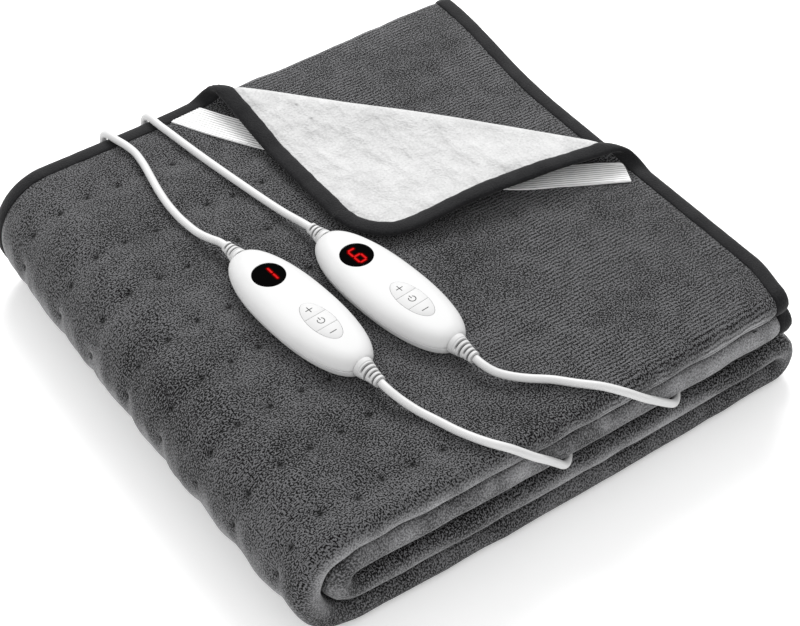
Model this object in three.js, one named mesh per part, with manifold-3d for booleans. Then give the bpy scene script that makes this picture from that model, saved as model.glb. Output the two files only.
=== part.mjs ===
// A heated flannel blanket, folded into a pack, with its two hand controllers lying on top.
// Millimetres, +Z up. The origin is the middle of the pack's footprint, on the surface it rests on.
// The pack's right side is +X and its back, with the bound edge, is +Y.

import * as THREE from 'three';
import { mergeVertices } from 'three/addons/utils/BufferGeometryUtils.js';
import Module from 'manifold-3d';

const wasm = await Module();
wasm.setup();

const { sin, cos, PI, abs, min, max, hypot, sign } = Math;
const smooth = THREE.MathUtils.smoothstep;
const radians = THREE.MathUtils.degToRad;

// Driving dimensions of the folded pack
const PACK_X = 404;
const PACK_Y = 406;
const SHEET = 5;
const SHEET_PITCH = 6.8;
const LAYER_PITCH = 21;
const MIDDLE_PITCH = 25.2;
const CORNER_RADIUS = 42;
const BOUND_EDGE_INSET = 4;
const HIDDEN_EDGE_INSET = 7;

// How softly the pack lies: its crown, the bulges of its front and of its left turn, the latter's
// drawn-in ends and skew, how far the top layer's right end and the front corner draw in, and the
// rise of the back right corner
const CROWN = 0.03;
const FRONT_BULGE = 3;
const LEFT_BULGE = 4.5;
const LEFT_ENDS = 5;
const LEFT_SKEW = 1.5;
const TOP_DRAW = 9;
const CORNER_DRAW = 7;
const BACK_RISE = 0.03;

// Driving dimensions of the edge binding, a folded tape
const BINDING_WIDTH = 11;
const BINDING_HALF = SHEET / 2;
const BINDING_OUT = 1.6;
const BINDING_ROUND = 0.7;
const EDGE_HALF = 1.3;
const CLEAR = 0.3;

// Driving dimensions of the turned-back corner
const TURN_ANGLE = radians(43.3);
const TURN_OFFSET = 106;
const TURN_RADIUS = 8.5;
const TURN_DROP = radians(10);
const TURN_EASE = 60;
const TURN_REST = 8.5;
const TURN_RISE = 9;

// The share by which the turned corner falls short of lying flat, as it is drawn up by its rise
const TURN_SHORT = 0.1;

// Driving dimensions of the elastic strap, in the flat cloth's own plan
const STRAP_WIDTH = 22;
const STRAP_THICKNESS = 1.2;
const STRAP_STEPS = 18;

// Driving dimensions of a controller
const BODY_LENGTH = 134;
const BODY_WIDTH = 49;
const BODY_HEIGHT = 16;
const BODY_END = 64;
const BODY_POWER = 2.25;
const BODY_SIDES = 28;
const SEAM_HEIGHT = 7.5;
const DISPLAY_RADIUS = 11.5;
const DISPLAY_PLACE = 32;
const DISPLAY_DEPTH = 2.2;
const PAD_LENGTH = 39;
const PAD_WIDTH = 18;
const PAD_PLACE = -23;
const POCKET_DEPTH = 4.6;
const KEY_HEIGHT = 3.4;
const KEY_PROUD = 0.2;
const KEY_GAP = 0.4;
const KEY_SPLIT = 6;
const PAD_PARTS = 14;
const KEY_PARTS = 8;

// Driving dimensions of the cords. A mains lead's spare length lies in a coil behind the pack.
const CORD = 5.5;
const CORD_SIDES = 8;
const CORD_STEP = 12;
const COIL_MEAN = 56;
const COIL_WIDE = 2;
const COIL_HIGH = 3;
const COIL_Y = 238;
const COIL_FLOOR = 0.25;
const COIL_SIDES = 32;
const TAIL_TURN = 22;
const TAIL_END = radians(6);
const TAIL_CENTRE = [-10, 4.5];
const TAIL_PARTS = 12;

// Driving dimensions of the moulded entry where a control lead joins the cloth's bound edge
const ENTRY_WIDTH = 18;
const ENTRY_LENGTH = 11;
const ENTRY_HEIGHT = 8.4;
const ENTRY_STUB = [3.9, 3.4, 18];
const ENTRY_X = [-104, -70];
const ENTRY_Y = 207.4;
const ENTRY_TOP = 52.5;

// Driving dimensions of a plug
const PLUG_WIDTH = 35;
const PLUG_LENGTH = 34;
const PLUG_HEIGHT = 13.7;
const PIN_SPACING = 19;
const PIN_RADIUS = 2;
const PIN_LENGTH = 19;
const PLUG_RELIEF = 22;
const PLUG_SHOULDER = 0.75;

// How many sides the round details have
const FINE_SIDES = 24;
const ROUND_SIDES = 12;
const SMALL_SIDES = 10;

// Levels of the four folded layers, from the bottom one up, each at its middle sheet
const LAYER_HALF = SHEET_PITCH + SHEET / 2;
const LEVEL_1 = LAYER_HALF;
const LEVEL_2 = LEVEL_1 + LAYER_PITCH;
const LEVEL_3 = LEVEL_2 + MIDDLE_PITCH;
const LEVEL_4 = LEVEL_3 + LAYER_PITCH;
const TOP = LEVEL_4 + LAYER_HALF;

// Where the half turns across X begin, and where the two free ends lie
const LEFT_X = -PACK_X / 2 + (LEVEL_4 - LEVEL_1) / 2 + LAYER_HALF;
const RIGHT_X = PACK_X / 2 - LAYER_PITCH / 2 - LAYER_HALF;
const TOP_END_X = PACK_X / 2 - 2 - BINDING_OUT;
const SECOND_END_X = TOP_END_X - 2;

// Where the folds across Y begin, and where the two bound edges lie
const FRONT_Y = -PACK_Y / 2 + LAYER_HALF;
const BACK_Y = PACK_Y / 2 - (SHEET_PITCH + SHEET) / 2;
const BOUND_Y = PACK_Y / 2 - BOUND_EDGE_INSET - BINDING_OUT;
const HIDDEN_Y = FRONT_Y + HIDDEN_EDGE_INSET;

// A path of straight runs and half turns, from u, v, heading along u by way, which is +1 or -1
function layOut(u, v, way, steps) {
  const pieces = [];
  for (const { run = 0, rise = 0, parts } of steps) {
    pieces.push({ u, v, way, rise, parts, length: run || (PI * abs(rise)) / 2 });
    u += way * run;
    v += rise;
    if (rise) way = -way;
  }
  return pieces;
}

// The folded strip seen from the front: top layer, left turn, bottom layer, right turn,
// second layer, inner left turn, third layer. u is X and v is Z.
const STRIP = layOut(TOP_END_X, LEVEL_4, -1, [
  { run: TOP_END_X - LEFT_X, parts: 5 },
  { rise: LEVEL_1 - LEVEL_4, parts: 8 },
  { run: RIGHT_X - LEFT_X, parts: 3 },
  { rise: LEVEL_2 - LEVEL_1, parts: 6 },
  { run: RIGHT_X - LEFT_X, parts: 3 },
  { rise: LEVEL_3 - LEVEL_2, parts: 6 },
  { run: SECOND_END_X - LEFT_X, parts: 3 },
]);

// One folded layer seen from the side: outer sheet, front fold, inner sheet, back fold,
// middle sheet. u is Y and v is the height over the layer's middle.
const LAYER = layOut(BOUND_Y, SHEET_PITCH, -1, [
  { run: BOUND_Y - FRONT_Y, parts: 5 },
  { rise: -2 * SHEET_PITCH, parts: 6 },
  { run: BACK_Y - FRONT_Y, parts: 3 },
  { rise: SHEET_PITCH, parts: 4 },
  { run: BACK_Y - HIDDEN_Y, parts: 3 },
]);

const lengthOf = (pieces) => pieces.reduce((sum, piece) => sum + piece.length, 0);
const FLAT_A = lengthOf(STRIP);
const FLAT_B = lengthOf(LAYER);

// The place and the heading at a distance along a path; past its ends the end runs go on
function follow(pieces, distance) {
  let index = 0;
  while (index < pieces.length - 1 && distance > pieces[index].length) {
    distance -= pieces[index].length;
    index += 1;
  }
  const { u, v, way, rise } = pieces[index];
  if (!rise) return { u: u + way * distance, v, headU: way, headV: 0 };
  const radius = abs(rise) / 2;
  const swing = distance / radius;
  return {
    u: u + way * radius * sin(swing),
    v: v + sign(rise) * radius * (1 - cos(swing)),
    headU: way * cos(swing),
    headV: sign(rise) * sin(swing),
  };
}

// The turned-back corner in profile: a roll, a slope down and an easing onto the sheet below
const ROLL_ARC = TURN_RADIUS * (PI + TURN_DROP);
const ROLL_TOP = TURN_RADIUS * (1 + cos(TURN_DROP));
const EASE_ARC = TURN_EASE * TURN_DROP;
const EASE_DROP = TURN_EASE * (1 - cos(TURN_DROP));
const SLOPE = (ROLL_TOP - EASE_DROP - TURN_REST) / sin(TURN_DROP);
const ROLL_PARTS = 6;
const TURN_LINES = [
  ...Array.from({ length: ROLL_PARTS + 1 }, (_, k) => (k * ROLL_ARC) / ROLL_PARTS),
  ROLL_ARC + SLOPE,
  ROLL_ARC + SLOPE + EASE_ARC,
];

// Where a distance past the turn's first line comes to, along and over that line's sheet
function rollOver(distance) {
  if (distance <= ROLL_ARC) {
    const swing = distance / TURN_RADIUS;
    return {
      along: TURN_RADIUS * sin(swing),
      over: TURN_RADIUS * (1 - cos(swing)),
      headAlong: cos(swing),
      headOver: sin(swing),
    };
  }
  const rollEnd = -TURN_RADIUS * sin(TURN_DROP);
  const onSlope = min(distance - ROLL_ARC, SLOPE);
  const past = max(distance - ROLL_ARC - SLOPE, 0);
  const swing = TURN_DROP - min(past, EASE_ARC) / TURN_EASE;
  const flat = max(past - EASE_ARC, 0);
  return {
    along: rollEnd - onSlope * cos(TURN_DROP) - TURN_EASE * (sin(TURN_DROP) - sin(swing)) - flat,
    over: ROLL_TOP - onSlope * sin(TURN_DROP) - TURN_EASE * (cos(swing) - cos(TURN_DROP)),
    headAlong: -cos(swing),
    headOver: -sin(swing),
  };
}

const pastTurn = (x, y) => x * cos(TURN_ANGLE) + y * sin(TURN_ANGLE) - TURN_OFFSET;
const alongTurn = (x, y) => x * sin(TURN_ANGLE) - y * cos(TURN_ANGLE);

// The free side of the turned corner stands a little higher than its tip
const turnRise = (x, y) =>
  TURN_RISE * smooth(alongTurn(x, y), 0, 70) * smooth(pastTurn(x, y), 20, 80);

// How the pack settles: every place in it moves a little, and its underside stays flat
function settle(v) {
  const u = v.x / (PACK_X / 2);
  const w = v.y / (PACK_Y / 2);
  const crown = CROWN * (1 - min(1, u ** 4)) * (1 - min(1, w ** 4));
  const bulge = LEFT_BULGE - LEFT_ENDS * w ** 4 - LEFT_SKEW * w;
  const endDraw = v.z > LEVEL_3 + LAYER_HALF ? TOP_DRAW : 0;
  const cornerDraw = v.z > LEVEL_2 + LAYER_HALF ? CORNER_DRAW : 0;
  const drawn = endDraw * smooth(-w, -0.94, -0.25) + cornerDraw * smooth(-w, 0.8, 1);
  const rise = BACK_RISE * smooth(u, 0, 1) * smooth(w, 0, 1);
  return new THREE.Vector3(
    v.x - bulge * smooth(-u, 0.3, 1) - drawn * smooth(u, 0.3, 1),
    v.y - FRONT_BULGE * (1 - min(1, u * u)) * smooth(-w, 0.2, 1),
    v.z * (1 + crown + rise),
  );
}

// The folded place of a spot of the flat cloth, lifted off its middle towards its outer face
function folded(a, b, lift) {
  const strip = follow(STRIP, a);
  const layer = follow(LAYER, b);
  const past = pastTurn(strip.u, layer.u);
  if (a < STRIP[0].length && b < LAYER[0].length && past > 0) {
    const { along, over, headAlong, headOver } = rollOver(past);
    const shift = along - past - lift * headOver + TURN_SHORT * max(-along, 0);
    return settle(new THREE.Vector3(
      strip.u + shift * cos(TURN_ANGLE),
      layer.u + shift * sin(TURN_ANGLE),
      LEVEL_4 + SHEET_PITCH + over + lift * headAlong + turnRise(strip.u, layer.u),
    ));
  }
  const offset = layer.v - lift * layer.headU;
  return settle(new THREE.Vector3(
    strip.u + offset * strip.headV,
    layer.u + lift * layer.headV,
    strip.v - offset * strip.headU,
  ));
}

// Distances from each end at which the flat cloth is divided, up to the corner radius
const EDGE_MARKS = [0, BINDING_WIDTH, 18, 29];

// Every distance at which the flat cloth is divided in one direction
function divisions(pieces) {
  const end = lengthOf(pieces);
  const marks = [...EDGE_MARKS, CORNER_RADIUS];
  let start = 0;
  pieces.forEach((piece, index) => {
    const from = index === 0 ? CORNER_RADIUS : start;
    const to = index === pieces.length - 1 ? end - CORNER_RADIUS : start + piece.length;
    for (let k = 1; k <= piece.parts; k += 1) marks.push(from + ((to - from) * k) / piece.parts);
    start += piece.length;
  });
  return [...marks, ...EDGE_MARKS.map((mark) => end - mark).reverse()];
}

// A spot of a plain rectangle drawn in to the cloth's rounded corners
function rounded(p, q) {
  const nearA = p < CORNER_RADIUS ? CORNER_RADIUS : max(min(p, FLAT_A - CORNER_RADIUS), CORNER_RADIUS);
  const nearB = q < CORNER_RADIUS ? CORNER_RADIUS : max(min(q, FLAT_B - CORNER_RADIUS), CORNER_RADIUS);
  const du = p - nearA;
  const dv = q - nearB;
  if (!du || !dv) return [p, q];
  const scale = max(abs(du), abs(dv)) / hypot(du, dv);
  return [nearA + du * scale, nearB + dv * scale];
}

// The flat cloth as spots and triangles. A spot is its flat place a, b and its plain place p, q.
function flatCloth() {
  const marksA = divisions(STRIP);
  const marksB = divisions(LAYER);
  const spots = [];
  const faces = [];
  for (const q of marksB) {
    for (const p of marksA) {
      const [a, b] = rounded(p, q);
      spots.push({ a, b, p, q });
    }
  }
  const row = marksA.length;
  for (let j = 0; j < marksB.length - 1; j += 1) {
    for (let i = 0; i < row - 1; i += 1) {
      const corner = j * row + i;
      faces.push([corner, corner + 1, corner + row + 1], [corner, corner + row + 1, corner + row]);
    }
  }
  return TURN_LINES.reduce(divideAlong, { spots, faces });
}

const SNAP = 1;

// Divides the triangles of the turned corner where they cross one line of the roll
function divideAlong({ spots, faces }, line) {
  const sides = spots.map(({ a, b }) => {
    if (a >= STRIP[0].length || b >= LAYER[0].length) return -1;
    const past = pastTurn(follow(STRIP, a).u, follow(LAYER, b).u) - line;
    return abs(past) < SNAP ? 0 : past;
  });
  const made = new Map();
  const crossing = (i, j) => {
    const key = i < j ? `${i},${j}` : `${j},${i}`;
    if (!made.has(key)) {
      const t = sides[i] / (sides[i] - sides[j]);
      const mix = (name) => spots[i][name] + t * (spots[j][name] - spots[i][name]);
      made.set(key, spots.push({ a: mix('a'), b: mix('b'), p: mix('p'), q: mix('q') }) - 1);
      sides.push(0);
    }
    return made.get(key);
  };
  const divided = faces.flatMap((face) => {
    const signs = face.map((i) => sign(sides[i]));
    if (!signs.includes(1) || !signs.includes(-1)) return [face];
    const onLine = signs.indexOf(0);
    if (onLine >= 0) {
      const [i, j, k] = [0, 1, 2].map((step) => face[(onLine + step) % 3]);
      const cut = crossing(j, k);
      return [[i, j, cut], [i, cut, k]];
    }
    const alone = signs.findIndex((s) => signs.filter((other) => other === s).length === 1);
    const [i, j, k] = [0, 1, 2].map((step) => face[(alone + step) % 3]);
    const first = crossing(i, j);
    const second = crossing(i, k);
    return [[i, first, second], [first, j, k], [first, k, second]];
  });
  return { spots, faces: divided };
}

const toEdge = ({ p, q }) => min(p, q, FLAT_A - p, FLAT_B - q);

// A spot moved outwards across the cloth's edge
function outward(spot, distance) {
  const p = spot.p < 1 ? spot.p - distance : spot.p > FLAT_A - 1 ? spot.p + distance : spot.p;
  const q = spot.q < 1 ? spot.q - distance : spot.q > FLAT_B - 1 ? spot.q + distance : spot.q;
  const [fromA, fromB] = rounded(spot.p, spot.q);
  const [toA, toB] = rounded(p, q);
  return [spot.a + toA - fromA, spot.b + toB - fromB];
}

// The directed edges that only one of the triangles has
function rimEdges(faces) {
  const edges = new Map();
  for (const face of faces) {
    face.forEach((i, step) => {
      const j = face[(step + 1) % 3];
      if (!edges.delete(`${j},${i}`)) edges.set(`${i},${j}`, [i, j]);
    });
  }
  return [...edges.values()];
}

// Collects triangles by their corners' places, and gives one closed geometry
class Surface {
  positions = [];

  triangle(first, second, third) {
    for (const v of [first, second, third]) this.positions.push(v.x, v.y, v.z);
  }

  quad(first, second, third, fourth) {
    this.triangle(first, second, third);
    this.triangle(first, third, fourth);
  }

  geometry() {
    const geometry = new THREE.BufferGeometry();
    geometry.setAttribute('position', new THREE.Float32BufferAttribute(this.positions, 3));
    return mergeVertices(geometry, 1e-4);
  }
}

const CLOTH = flatCloth();

// The one-piece cloth, squeezed thinner where the binding holds its edge
function blanketGeometry() {
  const { spots, faces } = CLOTH;
  const half = (spot) => (toEdge(spot) < BINDING_WIDTH + 1 ? EDGE_HALF : SHEET / 2);
  const upper = spots.map((spot) => folded(spot.a, spot.b, half(spot)));
  const lower = spots.map((spot) => folded(spot.a, spot.b, -half(spot)));
  const surface = new Surface();
  for (const [i, j, k] of faces) {
    surface.triangle(upper[i], upper[j], upper[k]);
    surface.triangle(lower[k], lower[j], lower[i]);
  }
  for (const [i, j] of rimEdges(faces)) surface.quad(upper[j], upper[i], lower[i], lower[j]);
  return surface.geometry();
}

// The binding tape, folded over the cloth's edge all the way round
function bindingGeometry() {
  const { spots } = CLOTH;
  const faces = CLOTH.faces.filter((face) => face.every((i) => toEdge(spots[i]) < BINDING_WIDTH + 1));
  const onEdge = (i) => toEdge(spots[i]) < 1;
  const place = (i, out, lift) => {
    const [a, b] = onEdge(i) ? outward(spots[i], out) : [spots[i].a, spots[i].b];
    return folded(a, b, lift);
  };
  const outer = (side) => (i) =>
    place(i, BINDING_ROUND, side * (onEdge(i) ? BINDING_HALF - BINDING_ROUND : BINDING_HALF));
  const inner = (side) => (i) => place(i, CLEAR, side * (EDGE_HALF + CLEAR));
  const nose = (i) => place(i, BINDING_OUT, 0);
  const surface = new Surface();
  for (const [i, j, k] of faces) {
    surface.triangle(outer(1)(i), outer(1)(j), outer(1)(k));
    surface.triangle(inner(1)(k), inner(1)(j), inner(1)(i));
    surface.triangle(inner(-1)(i), inner(-1)(j), inner(-1)(k));
    surface.triangle(outer(-1)(k), outer(-1)(j), outer(-1)(i));
  }
  for (const [i, j] of rimEdges(faces)) {
    if (onEdge(i) && onEdge(j)) {
      surface.quad(outer(1)(j), outer(1)(i), nose(i), nose(j));
      surface.quad(nose(j), nose(i), outer(-1)(i), outer(-1)(j));
      surface.quad(inner(1)(j), inner(-1)(j), inner(-1)(i), inner(1)(i));
    } else {
      surface.quad(outer(1)(j), outer(1)(i), inner(1)(i), inner(1)(j));
      surface.quad(inner(-1)(j), inner(-1)(i), outer(-1)(i), outer(-1)(j));
    }
  }
  return surface.geometry();
}

// A solid along a row of four-cornered sections, closed at both ends
function ribbonGeometry(sections) {
  const surface = new Surface();
  for (let k = 0; k < sections.length - 1; k += 1) {
    sections[k].forEach((corner, side) => {
      const next = (side + 1) % sections[k].length;
      surface.quad(corner, sections[k + 1][side], sections[k + 1][next], sections[k][next]);
    });
  }
  const last = sections[sections.length - 1];
  surface.quad(sections[0][0], sections[0][1], sections[0][2], sections[0][3]);
  surface.quad(last[3], last[2], last[1], last[0]);
  return surface.geometry();
}

// The elastic strap's middle line on the top sheet, from the back binding to the right one
const STRAP_LINE = new THREE.SplineCurve(
  [[-49, 190], [-33, 158], [-12, 125], [26, 72], [64, 27], [102, -6], [134, -23], [183, -46]]
    .map(([x, y]) => new THREE.Vector2(x, y)),
);

// The elastic strap, lying on the top sheet and passing under the turned corner
function strapGeometry() {
  const sections = [];
  for (let k = 0; k <= STRAP_STEPS; k += 1) {
    const middle = STRAP_LINE.getPoint(k / STRAP_STEPS);
    const heading = STRAP_LINE.getTangent(k / STRAP_STEPS);
    const corner = (side, lift) => {
      const x = middle.x - side * heading.y * STRAP_WIDTH / 2;
      const y = middle.y + side * heading.x * STRAP_WIDTH / 2;
      const inX = min(x, TOP_END_X - BINDING_WIDTH - 2 * CLEAR);
      const inY = min(y, BOUND_Y - BINDING_WIDTH - 2 * CLEAR);
      return folded(TOP_END_X - inX, BOUND_Y - inY, lift);
    };
    const under = SHEET / 2 + CLEAR;
    const over = under + STRAP_THICKNESS;
    sections.push([corner(1, over), corner(1, under), corner(-1, under), corner(-1, over)]);
  }
  return ribbonGeometry(sections);
}

// Finishes of the sub-parts
const finish = (color, roughness, metalness = 0) =>
  new THREE.MeshStandardMaterial({ color, roughness, metalness });
const FLANNEL = finish(0x454547, 0.95);
const TAPE = finish(0x303032, 0.9);
const ELASTIC = finish(0xe9e9e9, 0.8);
const WHITE_PLASTIC = finish(0xf2f2f2, 0.3);
const WHITE_CORD = finish(0xefefef, 0.45);
const BLACK_GLASS = finish(0x0a0a0a, 0.1);
const PIN_METAL = finish(0xc9c9c6, 0.3, 1);

const part = new THREE.Group();

function piece(name, geometry, material, parent = part) {
  const mesh = new THREE.Mesh(geometry, material);
  mesh.name = name;
  parent.add(mesh);
  return mesh;
}

// Joins and cuts of closed geometries
function solidOf(geometry) {
  const bare = geometry.clone();
  bare.deleteAttribute('normal');
  bare.deleteAttribute('uv');
  const merged = mergeVertices(bare, 1e-4);
  return new wasm.Manifold(new wasm.Mesh({
    numProp: 3,
    vertProperties: new Float32Array(merged.attributes.position.array),
    triVerts: new Uint32Array(merged.index.array),
  }));
}

function geometryOf(solid) {
  const mesh = solid.getMesh();
  const geometry = new THREE.BufferGeometry();
  geometry.setAttribute('position', new THREE.Float32BufferAttribute(mesh.vertProperties, 3));
  geometry.setIndex(new THREE.Uint32BufferAttribute(mesh.triVerts, 1));
  return geometry;
}

// A controller's outline at some inset from its widest one, cut square where the cords leave
function bodyOutline(inset, height) {
  const along = BODY_LENGTH / 2 - inset;
  const across = BODY_WIDTH / 2 - inset;
  const ring = [];
  for (let k = 0; k < BODY_SIDES; k += 1) {
    const turn = (2 * PI * (k + 0.5)) / BODY_SIDES;
    const x = along * sign(cos(turn)) * abs(cos(turn)) ** (2 / BODY_POWER);
    const y = across * sign(sin(turn)) * abs(sin(turn)) ** (2 / BODY_POWER);
    ring.push(new THREE.Vector3(max(-BODY_END, min(BODY_END, x)), y, height));
  }
  return ring;
}

// A solid through outlines of equal count, each above the last
function loftGeometry(rings) {
  const surface = new Surface();
  for (let k = 0; k < rings.length - 1; k += 1) {
    rings[k].forEach((corner, side) => {
      const next = (side + 1) % rings[k].length;
      surface.quad(corner, rings[k][next], rings[k + 1][next], rings[k + 1][side]);
    });
  }
  const bottom = rings[0];
  const top = rings[rings.length - 1];
  const centre = (ring) => new THREE.Vector3(0, 0, ring[0].z);
  bottom.forEach((corner, side) => {
    const next = (side + 1) % bottom.length;
    surface.triangle(centre(bottom), bottom[next], corner);
    surface.triangle(centre(top), top[side], top[next]);
  });
  return surface.geometry();
}

// Rows of inset and height of the two shells' outlines
const LOWER_SHELL = [[5.5, 0], [2.4, 1], [0.7, 3.5], [0, SEAM_HEIGHT - CLEAR / 2]];
const UPPER_SHELL = [
  [0, SEAM_HEIGHT + CLEAR / 2],
  [0.8, 10.2],
  [2.8, 12.9],
  [6, 15],
  [10, BODY_HEIGHT],
];

// A flat outline of the pad between two places along it; the whole pad with no limits
function padShape(inset, parts, from = -PAD_LENGTH, to = PAD_LENGTH) {
  const along = PAD_LENGTH / 2 - inset;
  const across = PAD_WIDTH / 2 - inset;
  const start = Math.acos(max(-1, min(1, to / along)));
  const end = Math.acos(max(-1, min(1, from / along)));
  const upper = Array.from({ length: parts + 1 }, (_, k) => start + ((end - start) * k) / parts);
  const side = (way, turns) => turns.map((t) => new THREE.Vector2(along * cos(t), way * across * sin(t)));
  const corners = [...side(1, upper), ...side(-1, upper.reverse())];
  const apart = corners.filter((c, k) => c.distanceTo(corners[(k + 1) % corners.length]) > 1e-3);
  return new THREE.Shape(apart);
}

const slab = (shape, depth, height) =>
  new THREE.ExtrudeGeometry(shape, { depth, bevelEnabled: false }).translate(0, 0, height);

function upperShellGeometry() {
  const shell = solidOf(loftGeometry(UPPER_SHELL.map(([inset, height]) => bodyOutline(inset, height))));
  const depth = 2 * (DISPLAY_DEPTH + CLEAR);
  const well = new THREE.CylinderGeometry(DISPLAY_RADIUS, DISPLAY_RADIUS, depth, FINE_SIDES);
  well.rotateX(PI / 2).translate(DISPLAY_PLACE, 0, BODY_HEIGHT);
  const pocket = slab(padShape(0, PAD_PARTS), 2 * POCKET_DEPTH, BODY_HEIGHT - POCKET_DEPTH);
  pocket.translate(PAD_PLACE, 0, 0);
  return geometryOf(shell.subtract(solidOf(well)).subtract(solidOf(pocket)));
}

function displayGeometry() {
  const radius = DISPLAY_RADIUS - CLEAR;
  return new THREE.CylinderGeometry(radius, radius, DISPLAY_DEPTH, FINE_SIDES)
    .rotateX(PI / 2)
    .translate(DISPLAY_PLACE, 0, BODY_HEIGHT - DISPLAY_DEPTH / 2);
}

// The three keys of the pad: name and the stretch of the pad that each takes
const KEYS = [
  ['plus', KEY_SPLIT + KEY_GAP / 2, PAD_LENGTH],
  ['power', -KEY_SPLIT + KEY_GAP / 2, KEY_SPLIT - KEY_GAP / 2],
  ['minus', -PAD_LENGTH, -KEY_SPLIT - KEY_GAP / 2],
];

function keyGeometry(from, to) {
  const foot = BODY_HEIGHT + KEY_PROUD - KEY_HEIGHT;
  return slab(padShape(KEY_GAP, KEY_PARTS, from, to), KEY_HEIGHT, foot).translate(PAD_PLACE, 0, 0);
}

// A rib's share of its pitch, where the groove after it is deepest, and the groove's radius
const RIB_END = 0.6;
const GROOVE_PLACE = 0.8;
const GROOVE = 0.8;

// A ribbed strain relief along +X from its root, wider at the root
function reliefGeometry(length, rootRadius, tipRadius, ribs) {
  const profile = [new THREE.Vector2(0, 0), new THREE.Vector2(rootRadius, 0)];
  const pitch = length / (ribs + 0.5);
  for (let k = 0; k < ribs; k += 1) {
    const radius = rootRadius + ((tipRadius - rootRadius) * k) / ribs;
    profile.push(new THREE.Vector2(radius, pitch * (k + RIB_END)));
    profile.push(new THREE.Vector2(radius * GROOVE, pitch * (k + GROOVE_PLACE)));
    profile.push(new THREE.Vector2(radius, pitch * (k + 1)));
  }
  profile.push(new THREE.Vector2(tipRadius, length), new THREE.Vector2(0, length));
  return new THREE.LatheGeometry(profile, SMALL_SIDES).rotateZ(-PI / 2);
}

// Each controller: its middle on the pack's top, its heading towards the display, its reliefs
const CONTROLLERS = [
  { place: [-93.8, -38], heading: radians(94.5) },
  { place: [-35.8, -55.2], heading: radians(96) },
];
const RELIEFS = [
  { name: 'upper', length: 15, root: 6.4, tip: 4.1, ribs: 3, way: 1 },
  { name: 'lower', length: 17.5, root: 7.2, tip: 4.2, ribs: 4, way: -1 },
];
const CORD_HEIGHT = 7.4;
const REST_GAP = 0.5;

CONTROLLERS.forEach(({ place, heading }, index) => {
  const number = index + 1;
  const body = new THREE.Group();
  body.position.set(...place, settle(new THREE.Vector3(...place, TOP)).z + REST_GAP);
  body.rotation.z = heading;
  part.add(body);
  const lower = loftGeometry(LOWER_SHELL.map(([inset, height]) => bodyOutline(inset, height)));
  piece(`controller_${number}_lower_shell`, lower, WHITE_PLASTIC, body);
  piece(`controller_${number}_upper_shell`, upperShellGeometry(), WHITE_PLASTIC, body);
  piece(`controller_${number}_display`, displayGeometry(), BLACK_GLASS, body);
  for (const [key, from, to] of KEYS) {
    piece(`controller_${number}_key_${key}`, keyGeometry(from, to), WHITE_PLASTIC, body);
  }
  for (const { name, length, root, tip, ribs, way } of RELIEFS) {
    const shape = reliefGeometry(length, root, tip, ribs);
    const relief = piece(`controller_${number}_${name}_relief`, shape, WHITE_PLASTIC, body);
    relief.position.set(way * (BODY_END + CLEAR), 0, CORD_HEIGHT);
    relief.rotation.z = way > 0 ? 0 : PI;
  }
});

piece('blanket', blanketGeometry(), FLANNEL);
piece('edge_binding', bindingGeometry(), TAPE);
piece('corner_strap', strapGeometry(), ELASTIC);

// The cords as they lie. Both ends of each are 0.3 mm clear of the piece they run into.
// The control leads, from the controller's upper relief over the top sheet and its bound edge
const CONTROL_LEADS = [
  [
    [-100.1, 41.8, 96.2], [-101.2, 48, 95.6], [-104.2, 57, 94], [-106.7, 67, 92.6], [-107.9, 78, 91.8],
    [-108.5, 90, 91.4], [-108, 105, 91.3], [-106, 121, 91.1], [-103, 137, 90.9], [-99.8, 154, 90.6],
    [-98.4, 168, 90.2], [-99.6, 179, 90], [-101.8, 188, 89.9], [-103.4, 194.7, 89.9],
    [-103.9, 200.6, 88.5], [-104, 204.8, 84.6], [-104, 206.9, 78.7], [-104, 207.4, 70.9],
  ],
  [
    [-44.2, 24.4, 96.3], [-45.2, 31, 95.6], [-46.7, 41.5, 93.9], [-48.3, 52, 92.4], [-50.3, 64, 91.6],
    [-52.9, 79, 91.3], [-55.7, 95, 91.2], [-59.1, 115, 91.1], [-62.4, 136, 90.9], [-65.2, 157, 90.5],
    [-67.2, 174, 90.1], [-68.8, 186, 89.9], [-69.6, 194.7, 89.9], [-69.9, 200.6, 88.5],
    [-70, 204.8, 84.6], [-70, 206.9, 78.7], [-70, 207.4, 70.9],
  ],
];

// The mains leads, from the lower relief over the front and back between the two middle layers
const MAINS_LEADS = [
  [
    [-87.3, -120.2, 96.2], [-86.6, -127.5, 95.6], [-84.1, -137, 93.6], [-79.9, -149.5, 91.8],
    [-74.9, -161.5, 91], [-68.4, -177.5, 90.4], [-60, -193, 90.2], [-49.6, -204.3, 87.6],
    [-37, -210.6, 78], [-26, -211.2, 68], [-17, -210.4, 58.5], [-8.5, -207.9, 49.1],
    [0, -201.1, 43.5], [8.5, -189.5, 43.1], [15, -174, 43.4], [18.5, -155, 43.7], [17, -112, 44.1],
    [0, -45, 44.2], [-30, 35, 44.2], [-55, 110, 44.05], [-64.5, 150, 43.6], [-66, 174, 43.4],
  ],
  [
    [-27.2, -137.2, 96.3], [-26, -144.3, 95.5], [-22.6, -152, 93.9], [-16.4, -159, 92.5],
    [-7.8, -166.2, 91.3], [4, -175, 90.6], [15.5, -186.5, 90.1], [27, -197.5, 89.7],
    [39, -207, 85], [50.5, -210.4, 76], [61.5, -211, 67], [72, -210.2, 57.8], [82, -207.5, 49],
    [91, -200.4, 43.6], [99, -189, 43.1], [105, -173.5, 43.4], [108, -154, 43.7], [106.5, -105, 44],
    [94, -30, 44.15], [77, 55, 44.15], [64, 125, 43.9], [59.8, 155, 43.7], [59, 174, 43.6],
  ],
];

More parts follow.
